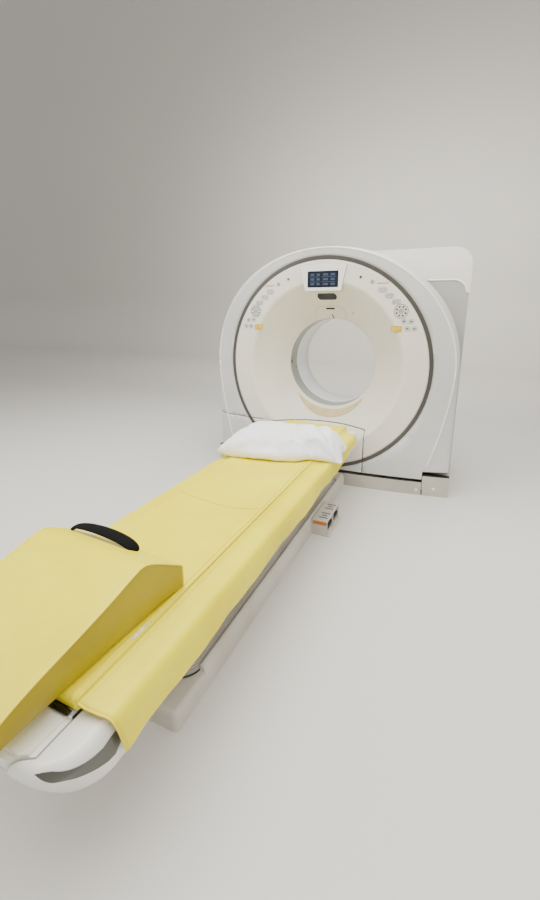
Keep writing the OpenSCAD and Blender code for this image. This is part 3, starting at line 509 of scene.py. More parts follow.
def in_lower(c, g):
    """Whether a point lies in the lower left cover, grown by g."""
    return c.x < SPLIT_X + g and c.z < SPLIT_Z + g and c.y < SPLIT_Y + g


def split_planes(g):
    return [((SPLIT_X + g, 0, 0), (1, 0, 0)), ((0, 0, SPLIT_Z + g), (0, 0, 1)),
            ((0, SPLIT_Y + g, 0), (0, 1, 0))]


def cut_housing(piece, gap, block_sides, gone):
    """Cut along the split, and free the base's blocks and the open foot behind the skirt."""
    planes = split_planes(gap) + [((x, 0, 0), (1, 0, 0)) for x in block_sides]
    planes.append(((0, 0, BLOCK_TOP), (0, 0, 1)))
    cut_away(piece, planes, lambda c: gone(c) or (abs(c.x) > BLOCK_X and c.z < BLOCK_TOP)
             or (c.z < SKIRT_TOP and c.y > SKIRT_FRONT))


def hang_on_gantry(*covers):
    for cover in covers:
        add_wall(cover, COVER_WALL)
        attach(cover, "tilting_gantry")


def make_housing():
    verts, faces = front_housing_skin()
    upper = new_piece("front_housing_skin", verts, faces, silver_grey_abs)
    lower = new_piece("lower_cover_outer_skin", verts, faces, silver_grey_abs)
    cut_housing(upper, SPLIT_GAP, (BLOCK_X, -BLOCK_X), lambda c: in_lower(c, SPLIT_GAP))
    cut_housing(lower, -SPLIT_GAP, (-BLOCK_X,), lambda c: not in_lower(c, -SPLIT_GAP))
    hang_on_gantry(upper, lower)
    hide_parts("front_housing")
    return upper, lower

housing_skin, lower_outer = make_housing()
print("housing faces", len(housing_skin.data.polygons), len(lower_outer.data.polygons))

# %% [markdown]
# ## The warm white front cover
# Inside the ring lies a flat band and then the funnel: a shallow dish that narrows to the tunnel.
# The dish is cut by the bowed front, so its rim sinks a little at the sides. A Boolean cut would
# leave that rim sharp. It is built as spokes instead: on each one the profile is the bowed front
# until the funnel's curve falls below it, with a small rounding where they meet.

# %% Front cover
FUNNEL = [(0.375, -0.075), (0.440, -0.136), (0.540, -0.238), (0.645, -0.355), (0.720, -0.440)]
RIM_ROUND = 0.016


def funnel_y(r):
    """Depth of the funnel at a radius, straight between its guide points."""
    if r <= FUNNEL[0][0]:
        return FUNNEL[0][1]
    for (r0, y0), (r1, y1) in zip(FUNNEL, FUNNEL[1:]):
        if r <= r1:
            return y0 + (y1 - y0) * (r - r0) / (r1 - r0)
    return FUNNEL[-1][1]


def soft_max(a, b, k):
    """The larger of two depths, with a rounding of width k where they meet."""
    h = max(k - abs(a - b), 0.0) / k
    return max(a, b) + h * h * k * 0.25


def cover_point(x, z, out=0.0):
    """A point of the cover at a place seen from the front, and how far it stands out."""
    return (x, soft_max(bow_y(x), funnel_y(math.hypot(x, z - AXIS)), RIM_ROUND) - out, z)


def cover_skin(spokes=240):
    """Rings from the groove in to the tunnel, closer together at the lip and at the rim."""
    radii = [0.3756, 0.378] + [0.385 + 0.01 * i for i in range(22)]
    radii += [0.605 + 0.006 * i for i in range(12)]
    radii += [0.69 + 0.0146 * i for i in range(9)]
    angles = [2 * math.pi * i / spokes for i in range(spokes)]
    return ring_skin([[(r * math.cos(a), soft_max(bow_y(r * math.cos(a)), funnel_y(r), RIM_ROUND),
                        AXIS + r * math.sin(a)) for a in angles] for r in reversed(radii)])


def make_cover():
    verts, faces = cover_skin()
    upper = new_piece("front_cover_skin", verts, faces, warm_white_abs)
    lower = new_piece("lower_cover_inner_skin", verts, faces, warm_white_abs)
    grown, shrunk = SPLIT_GAP, -SPLIT_GAP
    cut_away(upper, split_planes(grown)[:2],
             lambda c: c.x < SPLIT_X + grown and c.z < SPLIT_Z + grown)
    cut_away(lower, split_planes(shrunk)[:2],
             lambda c: not (c.x < SPLIT_X + shrunk and c.z < SPLIT_Z + shrunk))
    hang_on_gantry(upper, lower)
    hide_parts("front_cover")
    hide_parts("lower_front_cover")
    return upper, lower

cover_upper, cover_lower = make_cover()
print("cover faces", len(cover_upper.data.polygons), len(cover_lower.data.polygons))

# %% [markdown]
# ## The table's frame
# The long white moulding under the cradle has rounded shoulders, and its foot end is undercut
# like a chin. A dark crescent runs round each foot corner. A bevelled box could give the
# shoulders but not the chin, so the moulding is a stack of level rings, each standing in as far
# as its height asks, and the cradle's channel is cut out of it.

# %% Table frame's shape
FRAME_HALF, FRAME_FOOT, FRAME_HEAD = 0.328, 3.049, 0.414
FRAME_LOW, FRAME_TOP, CORNER = 0.372, 0.488, 0.105
SHOULDER_IN, SHOULDER_H, LOW_ROUND = 0.022, 0.034, 0.008
CHIN = 0.060
BELLY, BELLY_START, BELLY_RUN, BELLY_TOP = 0.025, -2.62, 0.22, 0.440
CHANNEL_HALF, CHANNEL_FLOOR, CHANNEL_TOP = 0.248, 0.4495, 0.60
CHANNEL_SIDE_END, CHANNEL_END, CHANNEL_END_HALF = 3.018, 3.055, 0.180


def frame_inset(z):
    """How far the side stands in at a height: a small foot radius and the wide shoulder."""
    if z > FRAME_TOP - SHOULDER_H:
        t = (z - FRAME_TOP + SHOULDER_H) / SHOULDER_H
        return SHOULDER_IN * (1 - math.sqrt(max(0.0, 1 - t * t)))
    if z < FRAME_LOW + LOW_ROUND:
        t = (FRAME_LOW + LOW_ROUND - z) / LOW_ROUND
        return LOW_ROUND * (1 - math.sqrt(max(0.0, 1 - t * t)))
    return 0.0


def frame_chin(z):
    """How far the foot end stands in at a height."""
    t = max(0.0, (FRAME_TOP - SHOULDER_H - z) / (FRAME_TOP - SHOULDER_H - FRAME_LOW))
    return CHIN * t ** 1.3


def frame_belly(y, z):
    """How much deeper the underside is beyond the base's foot end."""
    along = min(1.0, max(0.0, (BELLY_START - y) / BELLY_RUN))
    down = min(1.0, max(0.0, (BELLY_TOP - z) / (BELLY_TOP - FRAME_LOW)))
    return BELLY * along * along * (3 - 2 * along) * down


def frame_point(place, z, out=0.0):
    """A point on the right half of the moulding: place is metres before the corner when it is
    negative, the corner's angle in degrees up to 90, and tenths of the foot end beyond."""
    d, c = frame_inset(z) - out, frame_chin(z)
    half, foot, r = FRAME_HALF - d, FRAME_FOOT - d - c, CORNER - d
    if place < 0:
        return (half, -(foot - r) - place, z)
    if place <= 90:
        a = math.radians(place)
        return (half - r + r * math.cos(a), -(foot - r) - r * math.sin(a), z)
    return ((half - r) * (1 - (place - 90) / 10), -foot, z)


def frame_ring(z):
    """One level ring: down the right side, round the foot end, and back up the left side."""
    right = [(frame_point(0, z)[0], y, z)
             for y in (-FRAME_HEAD, -1.2, -2.0, -2.6, -2.68, -2.74, -2.8, -2.86)]
    right += [frame_point(p, z) for p in (*range(0, 91, 6), 95)]
    ring = right + [frame_point(100, z)] + [(-x, y, z) for x, y, z in reversed(right)]
    return [(x, y, z - frame_belly(y, z)) for x, y, z in ring]

print("chin at the bottom", frame_chin(FRAME_LOW), "belly", frame_belly(-FRAME_FOOT, FRAME_LOW))

# %% Table frame
def channel_cutter():
    """The block that is cut out of the moulding to make room for the cradle."""
    right = [(CHANNEL_HALF, 0.0), (CHANNEL_HALF, -CHANNEL_SIDE_END),
             (CHANNEL_END_HALF, -CHANNEL_END)]
    outline = right + [(-x, y) for x, y in reversed(right)]
    verts = [(x, y, z) for z in (CHANNEL_FLOOR, CHANNEL_TOP) for x, y in outline]
    return new_piece("channel_cutter", verts, prism_faces(len(outline)), table_white)


def make_frame():
    levels = [FRAME_LOW, FRAME_LOW + 0.002, FRAME_LOW + LOW_ROUND, 0.395, 0.415, 0.435, 0.454]
    levels += [FRAME_TOP - SHOULDER_H + SHOULDER_H * math.sin(math.radians(a))
               for a in (15, 30, 45, 60, 72, 82, 90)]
    rings = [frame_ring(z) for z in levels]
    verts, faces = ring_skin(rings)
    n = len(rings[0])
    faces += [tuple(range(n)), tuple(range(len(verts) - 1, len(verts) - n - 1, -1))]
    moulding = new_piece("table_frame_moulding", verts, faces, table_white)
    cutter = channel_cutter()
    for piece in (moulding, cutter):
        face_outwards(piece)
    cut = moulding.modifiers.new("channel", "BOOLEAN")
    cut.operation = "DIFFERENCE"
    cut.object = cutter
    bake(moulding)
    bpy.data.objects.remove(cutter)
    moulding.data.polygons.foreach_set("use_smooth", [True] * len(moulding.data.polygons))
    moulding.data.set_sharp_from_angle(angle=math.radians(32))
    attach(moulding, "table_top")
    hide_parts("table_frame")
    return moulding

table_frame = make_frame()
print("frame faces", len(table_frame.data.polygons))

# %% Crescent stripes
# Each row is a place along the moulding, as frame_point takes it, and the film's two edges there.
STRIPE = [(-0.095, 0.412, 0.446), (-0.045, 0.410, 0.446), (-0.018, 0.399, 0.441),
          (0, 0.402, 0.446), (11, 0.412, 0.454), (30, 0.431, 0.466), (46.7, 0.452, 0.4775),
          (56, 0.464, 0.4790), (63.4, 0.4745, 0.4780), (66, 0.4765, 0.4772)]
STRIPE_STEPS, STRIPE_ROWS, FILM_PROUD = 5, 12, 0.0006
crescent_film = sprayed_cover("crescent_grey_film", "#4E4F48", "#474842", 0.34, 3.0, 0.03)


def make_stripes():
    """The dark crescents, as thin films just proud of the moulding."""
    spots = []
    for start, end in zip(STRIPE, STRIPE[1:]):
        spots += [tuple(a + (b - a) * (k / STRIPE_STEPS) for a, b in zip(start, end))
                  for k in range(STRIPE_STEPS)]
    spots.append(STRIPE[-1])
    columns = [[frame_point(p, low + (high - low) * k / STRIPE_ROWS, FILM_PROUD)
                for k in range(STRIPE_ROWS + 1)] for p, low, high in spots]
    for s, side in ((1, "right"), (-1, "left")):
        verts, faces = ring_skin([[(s * x, y, z - frame_belly(y, z)) for x, y, z in column]
                                  for column in columns], closed=False)
        stripe = new_piece(f"foot_crescent_{side}", verts, faces, crescent_film)
        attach(stripe, "table_top")
    return len(spots)

print("stripe columns", make_stripes())

# %% [markdown]
# ## Vinyl, cotton, webbing and foam
# The mat and the wedge have a lemon vinyl skin, coated on cloth and pressed with a fine leather
# grain, with long, lazy wrinkles. Vinyl gives soft highlights that the grain breaks up, so the
# grain is a net of cells at its real size, and the wrinkles are noise stretched across the mat.
# The pillow is in plain white cotton: no gloss, a fine weave and a little fuzz. The handle is
# black polyester webbing. Each weave is two crossing waves, drawn about twice as coarse as the
# real threads, so that it shows.

# %% Soft materials
def vinyl(name, colour, shade, roughness=0.36, grain_mm=1.3, wrinkle=0.5):
    material, tree, shader = blank_material(name)
    place = place_on_part(tree)
    stain = add_node(tree, "ShaderNodeTexNoise", {"Vector": place, "Scale": 3.5, "Detail": 6,
                                                  "Roughness": 0.65})
    tone = add_node(tree, "ShaderNodeValToRGB", {"Fac": stain.outputs["Fac"]},
                    tones=((0.34, linear(shade)), (0.6, linear(colour))))
    rub = add_node(tree, "ShaderNodeMapRange", {"Value": stain.outputs["Fac"], "From Min": 0.3,
                   "From Max": 0.7, "To Min": roughness + 0.1, "To Max": roughness - 0.06})
    cells = add_node(tree, "ShaderNodeTexVoronoi", {"Vector": place, "Scale": 1000 / grain_mm},
                     feature="DISTANCE_TO_EDGE")
    grain = add_node(tree, "ShaderNodeBump", {"Height": cells.outputs["Distance"],
                                              "Strength": 0.12, "Distance": 0.0004})
    stretched = add_node(tree, "ShaderNodeMapping", {"Vector": place, "Scale": (9.0, 2.2, 9.0)})
    creases = add_node(tree, "ShaderNodeTexNoise", {"Vector": stretched.outputs["Vector"],
                       "Scale": 1.0, "Detail": 3, "Roughness": 0.45})
    bump = add_node(tree, "ShaderNodeBump", {"Height": creases.outputs["Fac"],
                    "Normal": grain.outputs["Normal"], "Strength": wrinkle, "Distance": 0.006})
    plug(tree, shader, {"Base Color": tone.outputs["Color"], "Roughness": rub.outputs["Result"],
                        "Specular IOR Level": 0.3, "Normal": bump.outputs["Normal"]})
    return material


def woven(name, colour, shade, thread_mm, roughness=0.85, weave=0.25, fuzz=0.25, crumple=0.35):
    material, tree, shader = blank_material(name)
    place = place_on_part(tree)
    clouds = add_node(tree, "ShaderNodeTexNoise", {"Vector": place, "Scale": 8, "Detail": 4})
    tone = add_node(tree, "ShaderNodeMix", {"Factor": clouds.outputs["Fac"], "A": linear(shade),
                                            "B": linear(colour)}, data_type="RGBA")
    pitch = 1000 / (20 * thread_mm)
    warp, weft = [add_node(tree, "ShaderNodeTexWave", {"Vector": place, "Scale": pitch},
                           bands_direction=axis) for axis in ("X", "Y")]
    cross = add_node(tree, "ShaderNodeMath", {0: warp.outputs["Fac"], 1: weft.outputs["Fac"]},
                     operation="MULTIPLY")
    threads = add_node(tree, "ShaderNodeBump", {"Height": cross.outputs["Value"],
                                                "Strength": weave, "Distance": 0.0005})
    folds = add_node(tree, "ShaderNodeTexNoise", {"Vector": place, "Scale": 11, "Detail": 3,
                                                  "Distortion": 0.6})
    bump = add_node(tree, "ShaderNodeBump", {"Height": folds.outputs["Fac"],
                    "Normal": threads.outputs["Normal"], "Strength": crumple, "Distance": 0.008})
    plug(tree, shader, {"Base Color": tone.outputs["Result"], "Roughness": roughness,
                        "Sheen Weight": fuzz, "Specular IOR Level": 0.15,
                        "Normal": bump.outputs["Normal"]})
    return material

# Coated vinyl: the wedge's is tauter, and its sides take a darker mustard copy as painted shade.
lemon_vinyl = vinyl("lemon_vinyl", "#EDE010", "#E3D404")
wedge_vinyl = vinyl("wedge_lemon_vinyl", "#E6D808", "#DACB02", 0.34, wrinkle=0.35)
wedge_side_shade_vinyl = vinyl("mustard_vinyl_side", "#A69400", "#988600", 0.42, wrinkle=0.4)
# The piping is smoother, and its paler tone is painted highlight along the rounded cords.
lemon_piping = vinyl("lemon_piping", "#F4E13C", "#EAD42C", 0.3, 0.8, 0.1)
# Spun and woven threads: dull, soft-edged, and deeper in tone between the threads.
seam_thread = woven("mustard_seam_thread", "#B8A23A", "#A38E2E", 0.8, crumple=0.0)
white_cotton = woven("white_pillow_cotton", "#F2F3F4", "#E8E9EB", 1.0, crumple=0.8)
cream_hem = woven("cream_hem_cotton", "#F1E9C8", "#EADFB6", 1.0)
black_webbing = woven("black_polyester_webbing", "#08080A", "#050506", 1.6, 0.85, 0.5, 0.0, 0.1)
# Open-cell foam, torn and stained: matt and crumbly.
bare_foam = sprayed_cover("bare_foam", "#EDE6D2", "#9C7B4A", 0.9, 1.2, 0.4, 60.0)
print("soft finishes ready")

# %% [markdown]
# ## Filled covers
# A cushion is a cover sewn along its seams and filled with foam. A rounded box would be even all
# over, but a real cover pulls in along its seams and puffs out between them. So each one starts a
# little slim, is held along its seams, and cloth pressure puffs its faces out. The movement is
# capped, because foam keeps a cushion close to its cut shape.

# %% Even closed box
def grid_block(name, low, high, step, finish):
    """A closed box of even quads, with shared edges."""
    counts = [max(2, round((h - l) / step)) for l, h in zip(low, high)]
    known, verts, faces = {}, [], []

    def point(*steps_in):
        if steps_in not in known:
            known[steps_in] = len(verts)
            verts.append(tuple(l + (h - l) * n / c
                               for l, h, n, c in zip(low, high, steps_in, counts)))
        return known[steps_in]

    for a, b, across in ((0, 1, 2), (0, 2, 1), (1, 2, 0)):
        for i in range(counts[a]):
            for j in range(counts[b]):
                for level, turned in ((0, across != 1), (counts[across], across == 1)):
                    square = [(i, j), (i + 1, j), (i + 1, j + 1), (i, j + 1)]
                    if turned:
                        square = square[:1] + square[:0:-1]
                    spots = [{a: u, b: v, across: level} for u, v in square]
                    faces.append([point(s[0], s[1], s[2]) for s in spots])
    return new_piece(name, verts, faces, finish)

print("block tool ready")

# %% Cloth pressure, rounding and cords
def swell(piece, held, pressure=4.0, cap=0.012, frames=20, shrink=0.0):
    """Puff a closed cover with cloth pressure; held(point) keeps the seams in place."""
    start = [v.co.copy() for v in piece.data.vertices]
    seams = piece.vertex_groups.new(name="seams")
    seams.add([i for i, p in enumerate(start) if held(p)], 1.0, "REPLACE")
    cloth = piece.modifiers.new("cover", "CLOTH")
    cloth.settings.use_pressure = True
    cloth.settings.uniform_pressure_force = pressure
    cloth.settings.effector_weights.gravity = 0
    cloth.settings.vertex_group_mass = "seams"
    cloth.settings.shrink_min = shrink
    cloth.settings.mass = 0.3
    cloth.settings.quality = 5
    cloth.collision_settings.use_collision = False
    cloth.point_cache.frame_start = 1
    cloth.point_cache.frame_end = frames
    for f in range(1, frames + 1):
        bpy.context.scene.frame_set(f)
        bpy.context.view_layer.update()
    bake(piece)
    bpy.context.scene.frame_set(1)
    for v, p in zip(piece.data.vertices, start):
        move = v.co - p
        if move.length > cap:
            v.co = p + move * (cap / move.length)
    return piece


def subdivide(piece):
    step = piece.modifiers.new("soft", "SUBSURF")
    step.levels = step.render_levels = 1
    return bake(piece)


def tube(name, path, radius, finish, closed=False, sides=8):
    """A round cord along a path of points, such as piping or a line of thread."""
    n = len(path)
    rings = []
    for i, p in enumerate(path):
        before = path[(i - 1) % n] if closed or i else path[0]
        after = path[(i + 1) % n] if closed or i < n - 1 else path[-1]
        along = (Vector(after) - Vector(before)).normalized()
        side = along.cross(Vector((0, 0, 1)))
        side = side.normalized() if side.length > 1e-6 else Vector((1, 0, 0))
        up = side.cross(along)
        rings.append([tuple(Vector(p) + radius * (math.cos(a) * side + math.sin(a) * up))
                      for a in [2 * math.pi * k / sides for k in range(sides)]])
    if closed:
        rings.append(rings[0])
    verts, faces = ring_skin(rings)
    if not closed:
        faces += end_caps(sides, n * sides)
    return new_piece(name, verts, faces, finish)


def steps(a, b, n):
    """n even steps from a to b, with both ends."""
    return [a + (b - a) * i / n for i in range(n + 1)]

print("cushion tools ready")

# %% [markdown]
# ## The mat
# A 35 mm foam mat in lemon vinyl covers the cradle. Its left edge has piping. Along the right
# edge two ridges show where a long flap is sewn on. A curved line of stitches crosses it below
# the pillow, and near the wedge the vinyl is torn so the foam shows. The cords and stitches are
# real thin tubes laid on the finished mat, because a painted line would have no highlight.

# %% Mat
TOP = 0.535   # height of the mat's top
MAT_LOW = (-0.231, -2.917, 0.5005)
MAT_HIGH = (0.253, -0.447, 0.5335)
MAT_STEP = 0.0125
EDGE_DROP, EDGE_WIDTH = 0.004, 0.012
FLAP_SIDE, CRADLE_TOP = 0.2545, 0.5002


def mat_relief(x, y):
    """Soft dents and ripples in the mat's top, in metres."""
    slow = noise.noise(Vector((x * 5.5, y * 2.6, 4.0)))
    fine = noise.noise(Vector((x * 19 + 0.4 * slow, y * 6, 9.0)))
    return 0.0013 * slow + 0.0009 * fine


def from_edge(p):
    """Distance of a point from the mat's nearest edge, seen from above."""
    return min(p.x - MAT_LOW[0], MAT_HIGH[0] - p.x, p.y - MAT_LOW[1], MAT_HIGH[1] - p.y)


def on_mat_seam(p):
    return (p.z < MAT_LOW[2] + 0.001
            or (from_edge(p) < 0.001 and p.z > MAT_HIGH[2] - 0.001))


def make_mat():
    mat = grid_block("mat_cushion", MAT_LOW, MAT_HIGH, MAT_STEP, lemon_vinyl)
    swell(mat, on_mat_seam, 5.0, 0.004)
    for v in mat.data.vertices:
        edge = from_edge(v.co)
        if v.co.z > 0.52:
            v.co.z = min(v.co.z, TOP + 0.001) + mat_relief(v.co.x, v.co.y)
            v.co.z -= EDGE_DROP * max(0.0, 1 - edge / EDGE_WIDTH) ** 2
        v.co.x = min(v.co.x, FLAP_SIDE)
        v.co.z = max(v.co.z, CRADLE_TOP)
    subdivide(mat)
    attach(mat, "cradle_body")
    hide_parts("mat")
    return mat

mat = make_mat()
bpy.context.view_layer.update()
print("mat faces", len(mat.data.polygons))

# %% Piping, seams and stitches on the mat
ARC_STITCHES = [(-0.228, -1.908), (-0.210, -1.917), (-0.140, -1.937), (-0.068, -1.950),
                (0.0, -1.959), (0.052, -1.964), (0.105, -1.962), (0.151, -1.952), (0.2, -1.936),
                (0.230, -1.916)]


def mat_z(x, y):
    """Height of the finished mat's top at a place."""
    hit = mat.ray_cast(Vector((x, y, 0.7)), Vector((0, 0, -1)))
    return hit[1].z if hit[0] else TOP


def along_mat(name, points, radius, finish, sink=0.3):
    """A cord laid along the mat, sunk into it by a share of its width."""
    path = [(x, y, mat_z(x, y) + radius * (1 - 2 * sink)) for x, y in points]
    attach(tube(name, path, radius, finish), "cradle_body")

along_mat("mat_left_piping", [(-0.2285, y) for y in steps(-2.912, -0.452, 200)], 0.0032,
          lemon_piping)
sewn_line = steps(-2.914, -0.449, 240)
along_mat("mat_flap_seam", [(0.2335 + 0.0015 * math.sin(9 * y), y) for y in sewn_line], 0.0030,
          lemon_vinyl, 0.45)
along_mat("mat_edge_ridge", [(0.2475, y) for y in sewn_line], 0.0036, lemon_vinyl, 0.35)
arc_path = [blend(a, b, t / 6) for a, b in zip(ARC_STITCHES, ARC_STITCHES[1:])
            for t in range(6)]
along_mat("mat_arc_stitching", arc_path, 0.0011, seam_thread, 0.35)
print("points along the arc", len(arc_path))

# %% Torn spot in the mat
TEAR_X, TEAR_Y, TEAR_HALF_W, TEAR_HALF_L = 0.2385, -2.693, 0.0085, 0.036


def make_tear(n=48):
    """A ragged patch where the vinyl is gone and stained foam shows."""
    rings = []
    for share in (0.15, 0.5, 0.8, 1.0):
        ring = []
        for a in [2 * math.pi * i / n for i in range(n)]:
            r = 1 + 0.45 * noise.noise(Vector((2.2 * math.cos(a), 2.2 * math.sin(a), 3.0)))
            x = TEAR_X + share * r * TEAR_HALF_W * math.cos(a)
            y = TEAR_Y + share * r * TEAR_HALF_L * math.sin(a)
            ring.append((x, y, mat_z(x, y) + 0.0006 + 0.0006 * (1 - share)))
        rings.append(ring)
    verts, faces = ring_skin(rings)
    faces.append(tuple(range(n - 1, -1, -1)))
    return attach(new_piece("mat_torn_foam", verts, faces, bare_foam), "cradle_body")

make_tear()
print("tear at", TEAR_X, TEAR_Y)

# %% [markdown]
# ## The flap
# The flap is a loose strip of the same vinyl, sewn to the mat's right edge. It bridges the gap to
# the table frame, rolls over the frame's shoulder and hangs down its side in slow waves. A cloth
# simulation would hang it straight. Its lower edge isn't straight, so its height was measured at
# a dozen places, and the strip is a row of cross-sections that each end at that height.

# %% Flap's shape
FLAP_EDGE = [(-2.876, 0.383), (-2.804, 0.386), (-2.704, 0.385), (-2.565, 0.393), (-2.410, 0.402),
             (-2.268, 0.397), (-2.073, 0.403), (-1.790, 0.398), (-1.566, 0.405), (-1.339, 0.405),
             (-1.168, 0.396), (-0.791, 0.409), (-0.691, 0.430), (-0.540, 0.432)]
FLAP_FOOT, FLAP_HEAD = -2.874, -0.545
SEWN_RIGHT, SEWN_LEFT = 0.2552, 0.2345
HANG_X, HANG_TOP, HANG_WAVE = 0.3470, 0.4780, 0.0150
SECTION_POINTS, SECTIONS = 30, 190


def flap_low(y):
    for (y0, z0), (y1, z1) in zip(FLAP_EDGE, FLAP_EDGE[1:]):
        if y <= y1:
            t = max(0.0, (y - y0) / (y1 - y0))
            return z0 + (z1 - z0) * t * t * (3 - 2 * t)
    return FLAP_EDGE[-1][1]


def flap_section(y, start=SEWN_RIGHT):
    """The strip's cross-section at y, from the mat's edge to the hanging edge."""
    key = [(start, 0.5285), (start + 0.007, 0.5205), (start + 0.018, 0.5140), (0.300, 0.5075),
           (0.322, 0.5045), (0.3335, 0.5000), (0.3400, 0.4915), (0.3430, HANG_TOP)]
    low = flap_low(y)
    wave = max(-0.35, noise.noise(Vector((y * 3.4, 1.0, 5.0)))
               + 0.45 * noise.noise(Vector((y * 10.0, 2.0, 1.0))))
    for share in (0.2, 0.4, 0.6, 0.8, 1.0):
        key.append((HANG_X + HANG_WAVE * wave * share, HANG_TOP + (low - HANG_TOP) * share))
    lengths = [0.0]
    for a, b in zip(key, key[1:]):
        lengths.append(lengths[-1] + math.dist(a, b))
    section = []
    for i in range(SECTION_POINTS):
        s = lengths[-1] * i / (SECTION_POINTS - 1)
        k = max(j for j in range(len(key) - 1) if lengths[j] <= s + 1e-9)
        t = (s - lengths[k]) / (lengths[k + 1] - lengths[k])
        x, z = blend(key[k], key[k + 1], t)
        near_pillow = 1 + 1.6 * max(0.0, 1 - abs(y + 1.25) / 0.45)
        lift = 0.0022 * near_pillow * noise.noise(Vector((x * 30, y * 12.0, 7.0))) * math.sin(
            math.pi * i / (SECTION_POINTS - 1))
        slant = 0.040 * (1 - s / lengths[-1]) * max(0.0, 1 - (y + 2.874) / 0.35)
        section.append((x, y - slant, z + lift))
    return section

print("flap hangs lowest at", min(z for _, z in FLAP_EDGE))

# %% Mat flaps
def smooth_sections(piece, count):
    """Round the corners of each cross-section, keeping both edges of the strip."""
    points = [v.co.copy() for v in piece.data.vertices]
    for i, v in enumerate(piece.data.vertices):
        if 0 < i % count < count - 1:
            v.co = points[i] * 0.5 + (points[i - 1] + points[i + 1]) * 0.25


def make_flap(name, side, start):
    """One side's strip; side is 1 for the right and -1 for the left."""
    sections = [[(side * x, y, z) for x, y, z in flap_section(y, start)]
                for y in steps(FLAP_FOOT, FLAP_HEAD, SECTIONS)]
    verts, faces = ring_skin(sections if side > 0 else sections[::-1], closed=False)
    flap = new_piece(name, verts, faces, lemon_vinyl)
    for _ in range(3):
        smooth_sections(flap, SECTION_POINTS)
    add_wall(flap, 0.0016, 0.0)
    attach(flap, "cradle_body")
    return flap


def flap_piping():
    low = [flap_section(y)[-1] for y in steps(FLAP_FOOT + 0.002, FLAP_HEAD - 0.002, SECTIONS)]
    foot = [(x, y - 0.001, z) for x, y, z in flap_section(FLAP_FOOT)]
    for name, path in (("flap_lower_piping", low), ("flap_foot_piping", foot)):
        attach(tube(name, path, 0.0026, lemon_piping), "cradle_body")

flap = make_flap("mat_flap_right", 1, SEWN_RIGHT)
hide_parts("mat_flap")
left_flap = make_flap("mat_flap_left", -1, SEWN_LEFT)
flap_piping()
print("flap faces", len(flap.data.polygons), len(left_flap.data.polygons))

# %% [markdown]
# ## The wedge and its handle
# The leg wedge is a firm foam block in smoother vinyl. Two panels meet its top in piped seams
# along both sides. Its side is drawn as an outline with its corners cut soft, and an even mesh of
# small cells then lets cloth pressure bulge every face alike. It lies a little askew on the mat,
# so it is built square and then turned.

# %% Wedge
WEDGE_W, WEDGE_L = 0.450, 0.595
WEDGE_PROFILE = [(0.0, 0.004), (0.0, 0.050), (0.023, 0.070), (0.110, 0.098), (0.219, 0.122),
                 (0.330, 0.151), (0.404, 0.175), (0.430, 0.1805), (0.455, 0.176), (0.500, 0.149),
                 (0.560, 0.108), (0.588, 0.089), (0.594, 0.078), (WEDGE_L, 0.004)]
WEDGE_CORNER, WEDGE_TURN = (0.2156, -3.089, TOP + 0.0012), -2.8
SLIM, CELL = 0.0015, 0.0062


def smooth_profile(points, rounds=2):
    """Cut the corners of an open outline, keeping its two ends."""
    for _ in range(rounds):
        cut = [points[0]]
        for a, b in zip(points, points[1:]):
            cut += [blend(a, b, 0.25), blend(a, b, 0.75)]
        points = cut + [points[-1]]
    return points


def on_wedge(piece):
    """Turn a piece that was built square on the wedge, and set it on the mat."""
    piece.matrix_world = (Matrix.Translation(WEDGE_CORNER)
                          @ Matrix.Rotation(math.radians(WEDGE_TURN), 4, "Z")
                          @ Matrix.Translation((-WEDGE_W, 0, 0)))
    bpy.context.view_layer.update()
    piece.data.transform(piece.matrix_world)
    piece.matrix_world = Matrix.Identity(4)
    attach(piece, "cradle_body")
    return piece


def make_wedge():
    outline = smooth_profile(WEDGE_PROFILE)
    loop = [(max(SLIM, min(WEDGE_L - SLIM, y)), max(0.0, z - SLIM if z > 0.02 else z))
            for y, z in outline]
    verts = [(x, y, z) for x in (0.001, WEDGE_W - 0.001) for y, z in loop]
    wedge = new_piece("wedge_cushion", verts, prism_faces(len(loop)), wedge_vinyl)
    even = wedge.modifiers.new("even", "REMESH")
    even.mode = "VOXEL"
    even.voxel_size = CELL
    bake(wedge)

    def held(p):
        return p.z < 0.003 or (min(p.x, WEDGE_W - p.x) < 0.006
                               and min(math.dist((p.y, p.z), q) for q in loop) < 0.007)

    swell(wedge, held, 4.0, 0.008)
    for v in wedge.data.vertices:
        v.co.z = max(v.co.z, 0.0)
        x, y = v.co.x, v.co.y
        v.co.z += 0.0016 * noise.noise(Vector((x * 7, y * 5, 2.0))) * min(1, v.co.z / 0.05)
    smooth = wedge.modifiers.new("even_out", "SMOOTH")
    smooth.iterations = 1
    smooth.factor = 0.5
    bake(wedge)
    # Faces that look sideways take the darker copy: painted shade on the wedge's sides.
    wedge.data.materials.append(wedge_side_shade_vinyl)
    for face in wedge.data.polygons:
        face.use_smooth = True
        if abs(face.normal.x) > 0.55:
            face.material_index = 1
    on_wedge(wedge)
    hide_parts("wedge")
    for side, x in (("left", 0.003), ("right", WEDGE_W - 0.003)):
        path = [(x, min(max(y, 0.003), 0.592), max(z - 0.0025, 0.004)) for y, z in outline]
        on_wedge(tube(f"wedge_piping_{side}", path, 0.0028, lemon_piping))
    return wedge

wedge = make_wedge()
print("wedge faces", len(wedge.data.polygons))

# %% Wedge handle
HANDLE_HALF, HANDLE_RISE, HANDLE_FOOT = 0.148, 0.040, 0.038
HANDLE_AT, HANDLE_LEFT = (-0.014, 0.528, 0.089), 0.040
HANDLE_RINGS, RING_POINTS = 40, 16


